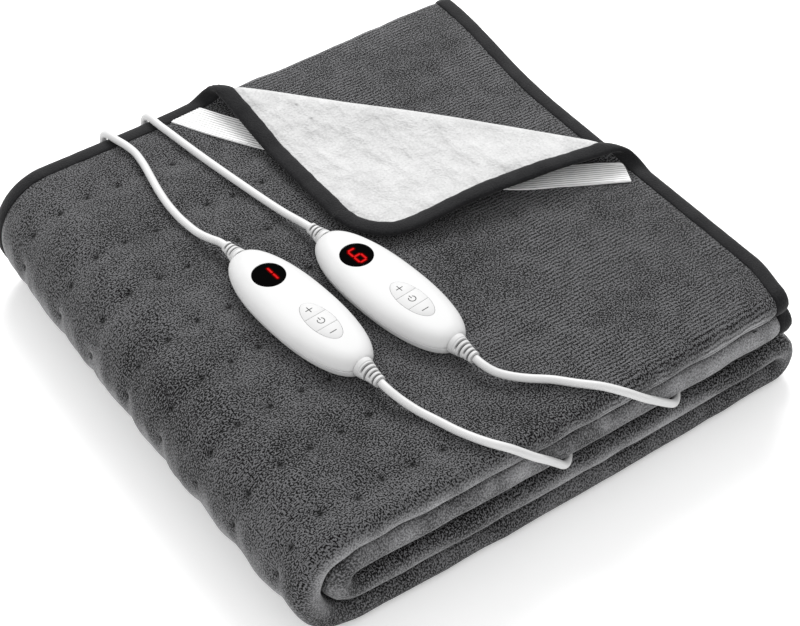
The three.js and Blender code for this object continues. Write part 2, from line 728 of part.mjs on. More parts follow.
// Each mains lead then drops behind the pack to its coil, from the last point above
const LEAD_DROP = [
  [3, 188, 43.2], [11, 199, 42.6], [24, 206.3, 38.6], [42, 208.4, 26.5], [58.5, 208.1, 14],
  [73, 207.5, 6.2], [87, 207.1, 3.1],
];
const COIL_FROM_EXIT = 105.8;

const route = (points) =>
  new THREE.CatmullRomCurve3(points.map(([x, y, z]) => new THREE.Vector3(x, y, z)), false, 'centripetal');

function cordGeometry(points) {
  const path = route(points);
  const section = new THREE.Shape(
    Array.from({ length: CORD_SIDES }, (_, k) => {
      const turn = (2 * PI * k) / CORD_SIDES;
      return new THREE.Vector2((CORD / 2) * cos(turn), (CORD / 2) * sin(turn));
    }),
  );
  const steps = Math.ceil(path.getLength() / CORD_STEP);
  return new THREE.ExtrudeGeometry(section, { steps, extrudePath: path, bevelEnabled: false });
}

// The spare length, wound in turns a cord's diameter apart: one ring as wide and high as they are
function coilGeometry() {
  const wide = COIL_WIDE * CORD;
  const high = COIL_HIGH * CORD;
  const [inner, outer] = [COIL_MEAN / 2 - wide / 2, COIL_MEAN / 2 + wide / 2];
  const soft = CORD / 3;
  const profile = [
    [inner + soft, 0], [outer - soft, 0], [outer, soft], [outer, high - soft],
    [outer - soft, high], [inner + soft, high], [inner, high - soft], [inner, soft], [inner + soft, 0],
  ].map(([radius, height]) => new THREE.Vector2(radius, height));
  return new THREE.LatheGeometry(profile, COIL_SIDES).rotateX(PI / 2);
}

// The plug's body lies along +X from its strain relief, flat sides up and down
function plugGeometry() {
  const [half, neck] = [PLUG_WIDTH / 2, PLUG_WIDTH / 6];
  const side = [
    [0, neck],
    [PLUG_LENGTH / 4, half * PLUG_SHOULDER],
    [PLUG_LENGTH / 2.5, half],
    [PLUG_LENGTH, half],
  ];
  const outline = [...side, ...side.map(([x, y]) => [x, -y]).reverse()];
  const bevel = PLUG_HEIGHT / 8;
  const shape = new THREE.Shape(outline.map(([x, y]) => new THREE.Vector2(x, y)).reverse());
  const body = new THREE.ExtrudeGeometry(shape, {
    depth: PLUG_HEIGHT - 2 * bevel,
    bevelThickness: bevel,
    bevelSize: bevel,
    bevelOffset: -bevel,
    bevelSegments: 1,
  });
  body.translate(0, 0, bevel - PLUG_HEIGHT / 2);
  const length = PLUG_RELIEF + 2 * bevel;
  const relief = new THREE.CylinderGeometry(neck - CLEAR, CORD / 1.5, length, ROUND_SIDES);
  relief.rotateZ(-PI / 2).translate(length / 2 - PLUG_RELIEF, 0, 0);
  return geometryOf(solidOf(body).add(solidOf(relief)));
}

// A lead's moulded entry: a block on the bound edge with a stub up to the lead
function entryGeometry() {
  const [root, tip, length] = ENTRY_STUB;
  const block = new THREE.BoxGeometry(ENTRY_WIDTH, ENTRY_LENGTH, ENTRY_HEIGHT);
  const blockY = BOUND_Y + BINDING_OUT + CLEAR + ENTRY_LENGTH / 2;
  block.translate(0, blockY - ENTRY_Y, -length - ENTRY_HEIGHT / 2);
  const stub = new THREE.CylinderGeometry(tip, root, length + CORD / 2, ROUND_SIDES).rotateX(PI / 2);
  stub.translate(0, 0, -(length + CORD / 2) / 2);
  return geometryOf(solidOf(block).add(solidOf(stub)));
}

CONTROL_LEADS.forEach((points, index) => {
  piece(`control_lead_${index + 1}`, cordGeometry(points), WHITE_CORD);
  const entry = piece(`lead_entry_${index + 1}`, entryGeometry(), WHITE_PLASTIC);
  entry.position.set(ENTRY_X[index], ENTRY_Y, ENTRY_TOP + ENTRY_STUB[2]);
});

MAINS_LEADS.forEach((points, index) => {
  const number = index + 1;
  const [exitX] = points[points.length - 1];
  const drop = LEAD_DROP.map(([x, y, z]) => [exitX + x, y, z]);
  piece(`mains_lead_${number}`, cordGeometry([...points, ...drop]), WHITE_CORD);

  const spare = new THREE.Group();
  spare.position.set(exitX + COIL_FROM_EXIT, COIL_Y, COIL_FLOOR);
  part.add(spare);
  piece(`mains_coil_${number}`, coilGeometry(), WHITE_CORD, spare);

  const top = COIL_HIGH * CORD + CLEAR;
  const cordHeight = top + CORD / 2;
  const plugHeight = top + PLUG_HEIGHT / 2;
  const [centreX, centreY] = TAIL_CENTRE;
  const tail = Array.from({ length: TAIL_PARTS + 1 }, (_, k) => {
    const turn = PI / 2 + ((PI + TAIL_END) * k) / TAIL_PARTS;
    const height = cordHeight + (plugHeight - cordHeight) * smooth(k, 2, TAIL_PARTS - 1);
    return [centreX + TAIL_TURN * cos(turn), centreY + TAIL_TURN * sin(turn), height];
  });
  piece(`mains_tail_${number}`, cordGeometry(tail), WHITE_CORD, spare);

  const plug = new THREE.Group();
  const [endX, endY] = tail[tail.length - 1];
  const reach = PLUG_RELIEF + 2 * CLEAR;
  plug.position.set(endX + reach * cos(TAIL_END), endY + reach * sin(TAIL_END), plugHeight);
  plug.rotation.z = TAIL_END;
  spare.add(plug);
  piece(`plug_${number}_body`, plugGeometry(), WHITE_PLASTIC, plug);
  for (const way of [-1, 1]) {
    const pin = new THREE.CylinderGeometry(PIN_RADIUS, PIN_RADIUS, PIN_LENGTH, SMALL_SIDES);
    pin.rotateZ(-PI / 2).translate(PLUG_LENGTH + CLEAR + PIN_LENGTH / 2, (way * PIN_SPACING) / 2, 0);
    piece(`plug_${number}_pin_${way < 0 ? 1 : 2}`, pin, PIN_METAL, plug);
  }
});

export default part;
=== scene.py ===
# A heated flannel blanket, folded into a pack, with its two hand controllers lying on top.
# Metres, +Z up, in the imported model's frame: the pack's right side is +X and its back is +Y.

from math import acos, ceil, cos, pi, radians, sin

import bmesh
import bpy
import numpy as np
from mathutils import Matrix, Vector


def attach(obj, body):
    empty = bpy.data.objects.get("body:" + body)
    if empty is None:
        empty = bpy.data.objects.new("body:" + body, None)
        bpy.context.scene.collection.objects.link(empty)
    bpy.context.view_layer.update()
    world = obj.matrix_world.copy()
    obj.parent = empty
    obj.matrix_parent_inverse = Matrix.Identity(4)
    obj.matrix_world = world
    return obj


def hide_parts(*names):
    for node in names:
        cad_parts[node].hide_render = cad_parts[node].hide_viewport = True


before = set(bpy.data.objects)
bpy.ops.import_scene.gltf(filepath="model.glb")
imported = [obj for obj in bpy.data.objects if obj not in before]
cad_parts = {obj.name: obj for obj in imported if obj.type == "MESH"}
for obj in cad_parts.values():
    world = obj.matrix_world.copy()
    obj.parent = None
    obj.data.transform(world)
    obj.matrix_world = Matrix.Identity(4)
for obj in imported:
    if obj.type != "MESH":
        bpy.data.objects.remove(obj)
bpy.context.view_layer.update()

PACK = "folded_blanket"
SIDES = (1, 2)

# The camera stands in front of the pack and to its left
CAMERA_PLACE = (-0.54064, -0.78252, 0.94509)
CAMERA_HEADING = radians(35.24)
CAMERA_DOWN = radians(44.5)
LENS = 85.0


def add_object(name, data):
    item = bpy.data.objects.new(name, data)
    bpy.context.collection.objects.link(item)
    return item


lens = bpy.data.cameras.new("camera")
lens.lens = LENS
lens.sensor_width = 36.0
lens.clip_start = 0.05
camera = add_object("camera", lens)
camera.location = CAMERA_PLACE
camera.rotation_euler = (pi / 2 - CAMERA_DOWN, 0, -CAMERA_HEADING)
bpy.context.scene.camera = camera


# Meshes. A shape is its places and its faces.

def new_mesh(name, shape, at=None):
    places, faces = shape
    if at is not None:
        places = [at @ Vector(place) for place in places]
    mesh = bpy.data.meshes.new(name)
    mesh.from_pydata([tuple(map(float, place)) for place in places], [], faces)
    return mesh


def add_piece(name, shape, material, nodes=(), at=None, body=PACK, flat=None, crease=40):
    """A mesh object that rides on a body and stands for nodes of the solid model.

    at is the matrix that puts the shape in place, and flat gives each point's place for the
    material's weave. Edges sharper than crease, in degrees, stay sharp; with 0 every face is flat.
    """
    mesh = new_mesh(name, shape, at)
    mesh.validate()
    for each in material if isinstance(material, tuple) else (material,):
        mesh.materials.append(each)
    if flat is not None:
        layer = mesh.uv_layers.new(name="flat")
        corners = np.empty(len(mesh.loops), dtype=np.int32)
        mesh.loops.foreach_get("vertex_index", corners)
        layer.data.foreach_set("uv", np.asarray(flat, dtype=np.float32)[corners].ravel())
    if crease:
        mesh.shade_smooth()
        mesh.set_sharp_from_angle(angle=radians(crease))
    piece = add_object(name, mesh)
    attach(piece, body)
    if nodes:
        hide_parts(*nodes)
    return piece


def add_attribute(piece, name, values):
    piece.data.attributes.new(name, "FLOAT", "POINT").data.foreach_set("value", values)


def ring_faces(rows, count, looped=False):
    """Faces of a tube of rows, each a ring of count points: a loop, or with capped ends."""
    faces = []
    for row in range(rows if looped else rows - 1):
        here, above = row * count, (row + 1) % rows * count
        for k in range(count):
            after = (k + 1) % count
            faces.append((here + k, here + after, above + after, above + k))
    if not looped:
        faces.append(tuple(reversed(range(count))))
        faces.append(tuple(range((rows - 1) * count, rows * count)))
    return faces


# Cords

CORD = 0.0055
CORD_PARTS = 20
CORD_STEP = 0.003

# The control leads, from the controller's upper relief over the top sheet to its bound edge
CONTROL_LEADS = (
    (
        (-0.1001, 0.0418, 0.0962), (-0.1012, 0.048, 0.0956), (-0.1042, 0.057, 0.094),
        (-0.1067, 0.067, 0.0926), (-0.1079, 0.078, 0.0918), (-0.1085, 0.09, 0.0914),
        (-0.108, 0.105, 0.0913), (-0.106, 0.121, 0.0911), (-0.103, 0.137, 0.0909),
        (-0.0998, 0.154, 0.0906), (-0.0984, 0.168, 0.0902), (-0.0996, 0.179, 0.09),
        (-0.1018, 0.188, 0.0899), (-0.1034, 0.1947, 0.0899),
    ),
    (
        (-0.0442, 0.0244, 0.0963), (-0.0452, 0.031, 0.0956), (-0.0467, 0.0415, 0.0939),
        (-0.0483, 0.052, 0.0924), (-0.0503, 0.064, 0.0916), (-0.0529, 0.079, 0.0913),
        (-0.0557, 0.095, 0.0912), (-0.0591, 0.115, 0.0911), (-0.0624, 0.136, 0.0909),
        (-0.0652, 0.157, 0.0905), (-0.0672, 0.174, 0.0901), (-0.0688, 0.186, 0.0899),
        (-0.0696, 0.1947, 0.0899),
    ),
)

# Each control lead then drops over the bound edge to its entry
ENTRY_X = (-0.104, -0.070)
ENTRY_DROP = ((0.0001, 0.2006, 0.0885), (0, 0.2048, 0.0846), (0, 0.2069, 0.0787), (0, 0.2074, 0.0709))

# The mains leads, from the lower relief over the front and back between the two middle layers
MAINS_LEADS = (
    (
        (-0.0873, -0.1202, 0.0962), (-0.0866, -0.1275, 0.0956), (-0.0841, -0.137, 0.0936),
        (-0.0799, -0.1495, 0.0918), (-0.0749, -0.1615, 0.091), (-0.0684, -0.1775, 0.0904),
        (-0.06, -0.193, 0.0902), (-0.0496, -0.2043, 0.0876), (-0.037, -0.2106, 0.078),
        (-0.026, -0.2112, 0.068), (-0.017, -0.2104, 0.0585), (-0.0085, -0.2079, 0.0491),
        (0, -0.2011, 0.0435), (0.0085, -0.1895, 0.0431), (0.015, -0.174, 0.0434),
        (0.0185, -0.155, 0.0437), (0.017, -0.112, 0.0441), (0, -0.045, 0.0442), (-0.03, 0.035, 0.0442),
        (-0.055, 0.11, 0.04405), (-0.0645, 0.15, 0.0436), (-0.066, 0.174, 0.0434),
    ),
    (
        (-0.0272, -0.1372, 0.0963), (-0.026, -0.1443, 0.0955), (-0.0226, -0.152, 0.0939),
        (-0.0164, -0.159, 0.0925), (-0.0078, -0.1662, 0.0913), (0.004, -0.175, 0.0906),
        (0.0155, -0.1865, 0.0901), (0.027, -0.1975, 0.0897), (0.039, -0.207, 0.085),
        (0.0505, -0.2104, 0.076), (0.0615, -0.211, 0.067), (0.072, -0.2102, 0.0578),
        (0.082, -0.2075, 0.049), (0.091, -0.2004, 0.0436), (0.099, -0.189, 0.0431),
        (0.105, -0.1735, 0.0434), (0.108, -0.154, 0.0437), (0.1065, -0.105, 0.044),
        (0.094, -0.03, 0.04415), (0.077, 0.055, 0.04415), (0.064, 0.125, 0.0439),
        (0.0598, 0.155, 0.0437), (0.059, 0.174, 0.0436),
    ),
)

# Each mains lead then drops behind the pack to its coil, from the last point above
LEAD_DROP = (
    (0.003, 0.188, 0.0432), (0.011, 0.199, 0.0426), (0.024, 0.2063, 0.0386), (0.042, 0.2084, 0.0265),
    (0.0585, 0.2081, 0.014), (0.073, 0.2075, 0.0062), (0.087, 0.2071, 0.0031),
)
COIL_FROM_EXIT = 0.1058
COIL_Y = 0.238
COIL_FLOOR = 0.00025
COIL_INNER = 0.02525
COIL_OUTER = 0.03075
TAIL_CENTRE = (-0.010, 0.0045)
TAIL_TURN = 0.022
TAIL_END = radians(6)
TAIL_PARTS = 12
PLUG_HEIGHT = 0.0137
CLEAR = 0.0003
COIL_TOP = 3 * CORD + CLEAR
PLUG_LEVEL = COIL_TOP + PLUG_HEIGHT / 2

# The coil's windings by the degrees turned since its start: radius and level of the cord's middle
COIL_STEP = 10
LEVELS = [COIL_FLOOR + CORD * (k + 0.5) for k in range(3)]
COIL_WINDING = (
    (-90, COIL_OUTER, LEVELS[0]), (225, COIL_OUTER, LEVELS[0]),
    (265, COIL_INNER, LEVELS[0]), (545, COIL_INNER, LEVELS[0]),
    (585, COIL_INNER, LEVELS[1]), (865, COIL_INNER, LEVELS[1]),
    (905, COIL_OUTER, LEVELS[1]), (1185, COIL_OUTER, LEVELS[1]),
    (1225, COIL_OUTER, LEVELS[2]), (1505, COIL_OUTER, LEVELS[2]),
    (1545, COIL_INNER, LEVELS[2]), (1815, COIL_INNER, LEVELS[2]),
    (1858, COIL_INNER + 0.001, COIL_FLOOR + COIL_TOP + CORD / 2),
    (1905, 0.0311, COIL_FLOOR + COIL_TOP + CORD / 2),
)


def ease(x, low, high):
    """0 below low, 1 above high, smooth between them."""
    t = np.clip((np.asarray(x, dtype=float) - low) / (high - low), 0, 1)
    return t * t * (3 - 2 * t)


def fade(distance, reach):
    return np.exp(-((distance / reach) ** 2))


def coil_points(centre_x):
    """The spare length: two turns side by side in three layers, then the half turn to the plug."""
    points = []
    for (start, r0, z0), (end, r1, z1) in zip(COIL_WINDING, COIL_WINDING[1:]):
        count = max(2, round((end - start) / COIL_STEP))
        for k in range(count):
            t = float(ease(k / count, 0, 1))
            turn = radians(start + (end - start) * k / count)
            radius = r0 + (r1 - r0) * t
            points.append((centre_x + radius * cos(turn), COIL_Y + radius * sin(turn), z0 + (z1 - z0) * t))
    for k in range(TAIL_PARTS + 1):
        turn = pi / 2 + (pi + TAIL_END) * k / TAIL_PARTS
        rise = float(ease(k, 2, TAIL_PARTS - 1))
        low = COIL_TOP + CORD / 2
        points.append((
            centre_x + TAIL_CENTRE[0] + TAIL_TURN * cos(turn),
            COIL_Y + TAIL_CENTRE[1] + TAIL_TURN * sin(turn),
            COIL_FLOOR + low + (PLUG_LEVEL - low) * rise,
        ))
    return points


def smooth_route(points):
    """Points a step apart on the smooth curve through the given ones."""
    points = [np.array(point, dtype=float) for point in points]
    points = [2 * points[0] - points[1], *points, 2 * points[-1] - points[-2]]
    route = []
    for p0, p1, p2, p3 in zip(points, points[1:], points[2:], points[3:]):
        d0, d1, d2 = (max(np.linalg.norm(b - a), 1e-6) ** 0.5 for a, b in ((p0, p1), (p1, p2), (p2, p3)))
        m1 = ((p1 - p0) / d0 - (p2 - p0) / (d0 + d1) + (p2 - p1) / d1) * d1
        m2 = ((p2 - p1) / d1 - (p3 - p1) / (d1 + d2) + (p3 - p2) / d2) * d1
        parts = max(1, ceil(np.linalg.norm(p2 - p1) / CORD_STEP))
        for t in np.arange(parts) / parts:
            route.append(
                (2 * t**3 - 3 * t**2 + 1) * p1 + (t**3 - 2 * t**2 + t) * m1
                + (3 * t**2 - 2 * t**3) * p2 + (t**3 - t**2) * m2
            )
    route.append(points[-2])
    return np.array(route)


def cord_tube(route):
    """A round cord along a route, without twist."""
    ahead = np.gradient(route, axis=0)
    ahead /= np.linalg.norm(ahead, axis=1)[:, None]
    side = np.cross(ahead[0], (0, 0, 1.0))
    if np.linalg.norm(side) < 0.1:
        side = np.array((1.0, 0, 0))
    places = []
    for place, way in zip(route, ahead):
        side = side - way * np.dot(side, way)
        side /= np.linalg.norm(side)
        up = np.cross(side, way)
        for k in range(CORD_PARTS):
            turn = 2 * pi * k / CORD_PARTS
            places.append(place + CORD / 2 * (cos(turn) * side - sin(turn) * up))
    return places, ring_faces(len(route), CORD_PARTS)


# Shader maths

class Value:
    """A shader socket. Arithmetic on it adds Math nodes."""

    def __init__(self, finish, socket):
        self.finish = finish
        self.socket = socket

    def math(self, operation, *values):
        settings = {"operation": operation}
        return self.finish.node("ShaderNodeMath", settings, dict(enumerate((self, *values))))

    def __add__(self, other):
        return self.math("ADD", other)

    def __mul__(self, other):
        return self.math("MULTIPLY", other)

    def __sub__(self, other):
        return self.math("SUBTRACT", other)

    __radd__ = __add__
    __rmul__ = __mul__

    def __rsub__(self, other):
        return (self * -1.0) + other


class Finish:
    """A material and the nodes that make it."""

    def __init__(self, name):
        self.material = bpy.data.materials.new(name)
        self.material.use_nodes = True
        self.tree = self.material.node_tree
        self.tree.nodes.clear()

    def node(self, kind, settings=None, inputs=None, output=0):
        """Adds a node: its settings first, then the values or links of its sockets."""
        node = self.tree.nodes.new(kind)
        for key, value in (settings or {}).items():
            setattr(node, key, value)
        for key, value in (inputs or {}).items():
            if isinstance(value, Value):
                self.tree.links.new(value.socket, node.inputs[key])
            else:
                node.inputs[key].default_value = value
        return Value(self, node.outputs[output])

    def flat_place(self, stretch=(1, 1, 1)):
        """The place on the flat cloth, in metres, stretched along its own directions."""
        place = self.node("ShaderNodeUVMap", {"uv_map": "flat"})
        return self.node("ShaderNodeMapping", {}, {"Vector": place, "Scale": stretch})

    def own_place(self):
        return self.node("ShaderNodeTexCoord", output=3)

    def part(self, place, axis):
        return self.node("ShaderNodeSeparateXYZ", {}, {"Vector": place}, output=axis)

    def attribute(self, name):
        return self.node("ShaderNodeAttribute", {"attribute_name": name}, output=2)

    def noise(self, place, size, detail=2.0, roughness=0.5):
        inputs = {"Vector": place, "Scale": 1 / size, "Detail": detail, "Roughness": roughness}
        return self.node("ShaderNodeTexNoise", {}, inputs)

    def between(self, value, low, high):
        """0 below low, 1 above high."""
        inputs = {0: value, 1: low, 2: high}
        return self.node("ShaderNodeMapRange", {"interpolation_type": "SMOOTHSTEP"}, inputs)

    def blend(self, mask, first, second):
        inputs = {0: mask, 6: first, 7: second}
        return self.node("ShaderNodeMix", {"data_type": "RGBA"}, inputs, output=2)

    def bump(self, height, distance):
        return self.node("ShaderNodeBump", {}, {"Height": height, "Distance": distance, "Strength": 1.0})

    def surface(self, **inputs):
        def title(key):
            return key.replace("_", " ").title().replace("Ior", "IOR")

        named = {title(key): value for key, value in inputs.items()}
        shader = self.node("ShaderNodeBsdfPrincipled", {}, named)
        end = self.tree.nodes.new("ShaderNodeOutputMaterial")
        self.tree.links.new(shader.socket, end.inputs["Surface"])
        return self.material


# Finishes, with the sizes of what shows in them
GRAIN = 0.00105
NAP = 0.014
DRIFT = 0.07
RIB_PITCH = 0.0028
STRAP_WIDTH = 0.022
STRAP_RIBS = 10


def grey(shade, blue=0.0):
    return (shade, shade, shade + blue, 1)


def flannel():
    """Short pile with random grain and nap tone. Painted sheen pales it where it is seen side on and in a
    band round each front fold; painted shade darkens its tack holes.
    """
    finish = Finish("flannel")
    place = finish.flat_place()
    grain = finish.noise(place, GRAIN, detail=1.0, roughness=0.6)
    nap = finish.noise(place, NAP, detail=3.0)
    drift = finish.noise(place, DRIFT)
    level = finish.part(finish.own_place(), 2)
    # Layer Weight facing drives the painted sheen where the pile is seen side on
    grazing = finish.node("ShaderNodeLayerWeight", {}, {"Blend": 0.5}, output=1)
    # The knit's fine ribs show through in patches of the top sheet's right part
    ribs = (finish.part(place, 1) * (2 * pi / RIB_PITCH) + nap * 9.0).math("SINE")
    on_right = 1.0 - finish.between(finish.part(place, 0), 0.15, 0.27)
    ribbed = on_right * finish.between(drift + nap * 0.3, 0.5, 0.75)
    uneven = (nap + drift - 1.0) * 0.8 + ribs * ribbed * 0.5
    shade = finish.between((grain - 0.5) * 6.5 + uneven + 0.42, -0.1, 1.1)
    colour = finish.blend(shade, grey(0.001), grey(0.145, 0.005))
    # The paler colour that the painted sheen blends in
    sheen_tone = finish.between((grain - 0.5) * 1.6 + uneven + 0.5, -0.1, 1.1)
    pale = finish.blend(sheen_tone, grey(0.12, 0.003), grey(0.42, 0.01))
    # Painted sheen: paler where the pile is seen side on, rising from 12 to 30 mm up
    painted_side_sheen = finish.between(grazing, 0.5, 1.0) * finish.between(level, 0.012, 0.030)
    colour = finish.blend(painted_side_sheen * 0.9, colour, pale)
    # brushed: a painted sheen band round each layer's front fold, in patches
    brushed = finish.attribute("nose_sheen") * finish.between(nap * 0.25 + drift * 0.9, 0.3, 0.75)
    colour = finish.blend(brushed * 0.9, colour, pale)
    # Painted shade, near black, down in the tack holes
    colour = finish.blend(finish.attribute("tack_hole_shade"), colour, grey(0.003))
    normal = finish.bump(grain + nap * 1.4, 0.0014)
    return finish.surface(
        base_color=colour, roughness=0.95, normal=normal, sheen_weight=0.12, sheen_roughness=0.4,
        specular_ior_level=0.1,
    )


def underside():
    """White felt with soft creases and a faint stipple, with painted shade in the creases' hollows and at
    its tack holes.
    """
    finish = Finish("nonwoven_underside")
    place = finish.flat_place()
    stipple = finish.noise(place, 0.0019, detail=1.0)
    felt = finish.noise(place, 0.009, detail=3.0)
    crease = finish.noise(finish.flat_place((0.5, 1, 1)), 0.022)
    # The creases darken the colour where they dip: painted shade
    shade = finish.between(stipple * 0.5 + felt * 0.3 + crease * 0.4, 0.3, 0.85)
    colour = finish.blend(shade, grey(0.44), grey(0.6))
    # Painted shade, grey, at the two tack holes of the underside
    colour = finish.blend(finish.attribute("tack_hole_shade"), colour, grey(0.25))
    normal = finish.bump(stipple * 0.5 + felt * 1.2 + crease * 7.0, 0.0011)
    return finish.surface(base_color=colour, roughness=0.85, normal=normal, sheen_weight=0.1)


def tape():
    finish = Finish("binding_tape")
    place = finish.flat_place()
    grain = finish.noise(place, 0.0012)
    nap = finish.noise(place, 0.02)
    shade = finish.between(grain * 0.6 + nap * 0.4, 0.3, 0.75)
    colour = finish.blend(shade, grey(0.006, 0.001), grey(0.019, 0.001))
    normal = finish.bump(grain + nap, 0.0005)
    return finish.surface(
        base_color=colour, roughness=0.8, normal=normal, sheen_weight=0.1, sheen_roughness=0.4,
        specular_ior_level=0.15,
    )


def elastic():
    """Woven elastic: lengthwise ribs, with painted shade in the grooves between them."""
    finish = Finish("elastic")
    yarn = finish.noise(finish.flat_place((1, 0.15, 1)), 0.0009)
    # The line pattern follows the strap's ribs: painted shade in the grooves between them
    line = (finish.part(finish.flat_place(), 0) * (2 * pi * STRAP_RIBS / STRAP_WIDTH)).math("COSINE")
    shade = finish.between(line + yarn - 0.5, -1.0, 0.0)
    colour = finish.blend(shade, grey(0.42), grey(0.9))
    return finish.surface(base_color=colour, roughness=0.6, normal=finish.bump(yarn, 0.0002))


def moulded(name, shade, roughness, specular=0.5):
    """Moulded plastic with the faint unevenness of its skin, and painted shade down in its slots."""
    finish = Finish(name)
    skin = finish.noise(finish.own_place(), 0.0012)
    wear = finish.noise(finish.own_place(), 0.02, detail=3.0)
    colour = finish.blend(finish.between(wear, 0.3, 0.7), grey(shade * 0.97), grey(shade))
    # Painted shade down in the slots of the strain reliefs
    colour = finish.blend(finish.attribute("slot"), colour, grey(shade * 0.2))
    rough = finish.between(wear, 0.2, 0.8) * (roughness * 0.3) + roughness * 0.85
    normal = finish.bump(skin, 0.00002)
    return finish.surface(base_color=colour, roughness=rough, normal=normal, specular_ior_level=specular)


def glowing(name, low, high, strength):
    """Red light, a little uneven."""
    finish = Finish(name)
    return finish.surface(
        base_color=(0.02, 0, 0, 1), roughness=0.5, specular_ior_level=0.0, emission_strength=strength,
        emission_color=finish.blend(finish.noise(finish.own_place(), 0.0016), low, high),
    )


def pin_metal():
    finish = Finish("pin_metal")
    brushed = finish.noise(finish.own_place(), 0.0008, detail=3.0)
    rough = finish.between(brushed, 0.3, 0.7) * 0.15 + 0.22
    return finish.surface(base_color=(0.78, 0.78, 0.76, 1), metallic=1.0, roughness=rough)


FLANNEL = flannel()
UNDERSIDE = underside()
TAPE = tape()
ELASTIC = elastic()
WHITE_PLASTIC = moulded("white_plastic", 0.64, 0.4, specular=0.12)
SOFT_PLASTIC = moulded("soft_plastic", 0.62, 0.5, specular=0.2)
WHITE_CORD = moulded("white_cord", 0.64, 0.4)
BLACK_GLASS = moulded("display_window", 0.002, 0.3, specular=0.0)
PRINT = moulded("print_grey", 0.03, 0.5, specular=0.2)
DISPLAY_LIGHT = glowing("display_light", (0.6, 0.003, 0.004, 1), (1, 0.03, 0.03, 1), 0.95)
DISPLAY_HALO = glowing("display_halo", (0.08, 0, 0, 1), (0.16, 0, 0, 1), 0.9)
PIN_METAL = pin_metal()


# The free cords, each with the route of its middle
def add_cord(name, points, nodes):
    route = smooth_route(points)
    return add_piece(name, cord_tube(route), WHITE_CORD, nodes), route


for side, lead, entry_x in zip(SIDES, CONTROL_LEADS, ENTRY_X):
    drop = [(entry_x + x, y, z) for x, y, z in ENTRY_DROP]
    add_cord(f"control_cord_{side}", [*lead, *drop], [f"control_lead_{side}"])

for side, lead in zip(SIDES, MAINS_LEADS):
    exit_x = lead[-1][0]
    drop = [(exit_x + x, y, z) for x, y, z in LEAD_DROP]
    points = [*lead, *drop, *coil_points(exit_x + COIL_FROM_EXIT)]
    nodes = [f"mains_lead_{side}", f"mains_coil_{side}", f"mains_tail_{side}"]
    add_cord(f"mains_cord_{side}", points, nodes)


# The folded cloth, by the same folds as the solid model
PACK_X = 0.404
PACK_Y = 0.406
SHEET = 0.005
SHEET_PITCH = 0.0068
LAYER_PITCH = 0.021
MIDDLE_PITCH = 0.0252
CORNER_RADIUS = 0.042
CORNER_PARTS = 12
END_INSET = 0.002
BOUND_EDGE_INSET = 0.004
HIDDEN_EDGE_INSET = 0.007
BINDING_WIDTH = 0.011
BINDING_OUT = 0.0016
EDGE_HALF = 0.0013
FLOOR_CLEAR = 0.0002

# How the pack settles: the crown and the rise as shares of its height, the reach of its half width
CROWN = 0.03
FRONT_BULGE = 0.003
LEFT_BULGE = 0.0045
LEFT_ENDS = 0.005
LEFT_SKEW = 0.0015
TOP_DRAW = 0.009
CORNER_DRAW = 0.007
BACK_RISE = 0.03
BACK_LIFT = 0.0034
TURN_LIFT = 0.0038
TURN_LIFT_REACH = 0.24

# The corner that is turned back
TURN_ANGLE = radians(43.3)
TURN_OFFSET = 0.106
TURN_RADIUS = 0.0085
TURN_DROP = radians(10)
TURN_EASE = 0.060
TURN_REST = 0.0085
TURN_RISE = 0.009
TURN_SHORT = 0.1

LAYER_HALF = SHEET_PITCH + SHEET / 2
LEVEL_1 = LAYER_HALF
LEVEL_2 = LEVEL_1 + LAYER_PITCH
LEVEL_3 = LEVEL_2 + MIDDLE_PITCH
LEVEL_4 = LEVEL_3 + LAYER_PITCH
TOP = LEVEL_4 + LAYER_HALF
LEFT_X = -PACK_X / 2 + (LEVEL_4 - LEVEL_1) / 2 + LAYER_HALF
RIGHT_X = PACK_X / 2 - LAYER_PITCH / 2 - LAYER_HALF
TOP_END_X = PACK_X / 2 - END_INSET - BINDING_OUT
SECOND_END_X = TOP_END_X - END_INSET
FRONT_Y = -PACK_Y / 2 + LAYER_HALF
BACK_Y = PACK_Y / 2 - (SHEET_PITCH + SHEET) / 2
BOUND_Y = PACK_Y / 2 - BOUND_EDGE_INSET - BINDING_OUT
HIDDEN_Y = FRONT_Y + HIDDEN_EDGE_INSET


def lay_out(u, v, way, steps):
    """A path of straight runs and half turns. Each step is its run, its rise and its mesh step."""
    pieces = []
    for run, rise, step in steps:
        length = run or pi * abs(rise) / 2
        pieces.append({"u": u, "v": v, "way": way, "rise": rise, "length": length, "step": step})
        u += way * run
        v += rise
        if rise:
            way = -way
    return pieces


# The folded strip seen from the front: top layer, left turn, bottom layer, right turn,
# second layer, inner left turn, third layer
STRIP = lay_out(TOP_END_X, LEVEL_4, -1, (
    (TOP_END_X - LEFT_X, 0, 0.0035),
    (0, LEVEL_1 - LEVEL_4, 0.0035),
    (RIGHT_X - LEFT_X, 0, 0.016),
    (0, LEVEL_2 - LEVEL_1, 0.003),
    (RIGHT_X - LEFT_X, 0, 0.016),
    (0, LEVEL_3 - LEVEL_2, 0.005),
    (SECOND_END_X - LEFT_X, 0, 0.014),
))

# One folded layer seen from the side: outer sheet, front fold, inner sheet, back fold, middle sheet
LAYER = lay_out(BOUND_Y, SHEET_PITCH, -1, (
    (BOUND_Y - FRONT_Y, 0, 0.0035),
    (0, -2 * SHEET_PITCH, 0.002),
    (BACK_Y - FRONT_Y, 0, 0.020),
    (0, SHEET_PITCH, 0.0018),
    (BACK_Y - HIDDEN_Y, 0, 0.020),
))
FLAT_A = sum(piece["length"] for piece in STRIP)
FLAT_B = sum(piece["length"] for piece in LAYER)
TOP_RUN = STRIP[0]["length"]
SHEET_RUN = LAYER[0]["length"]


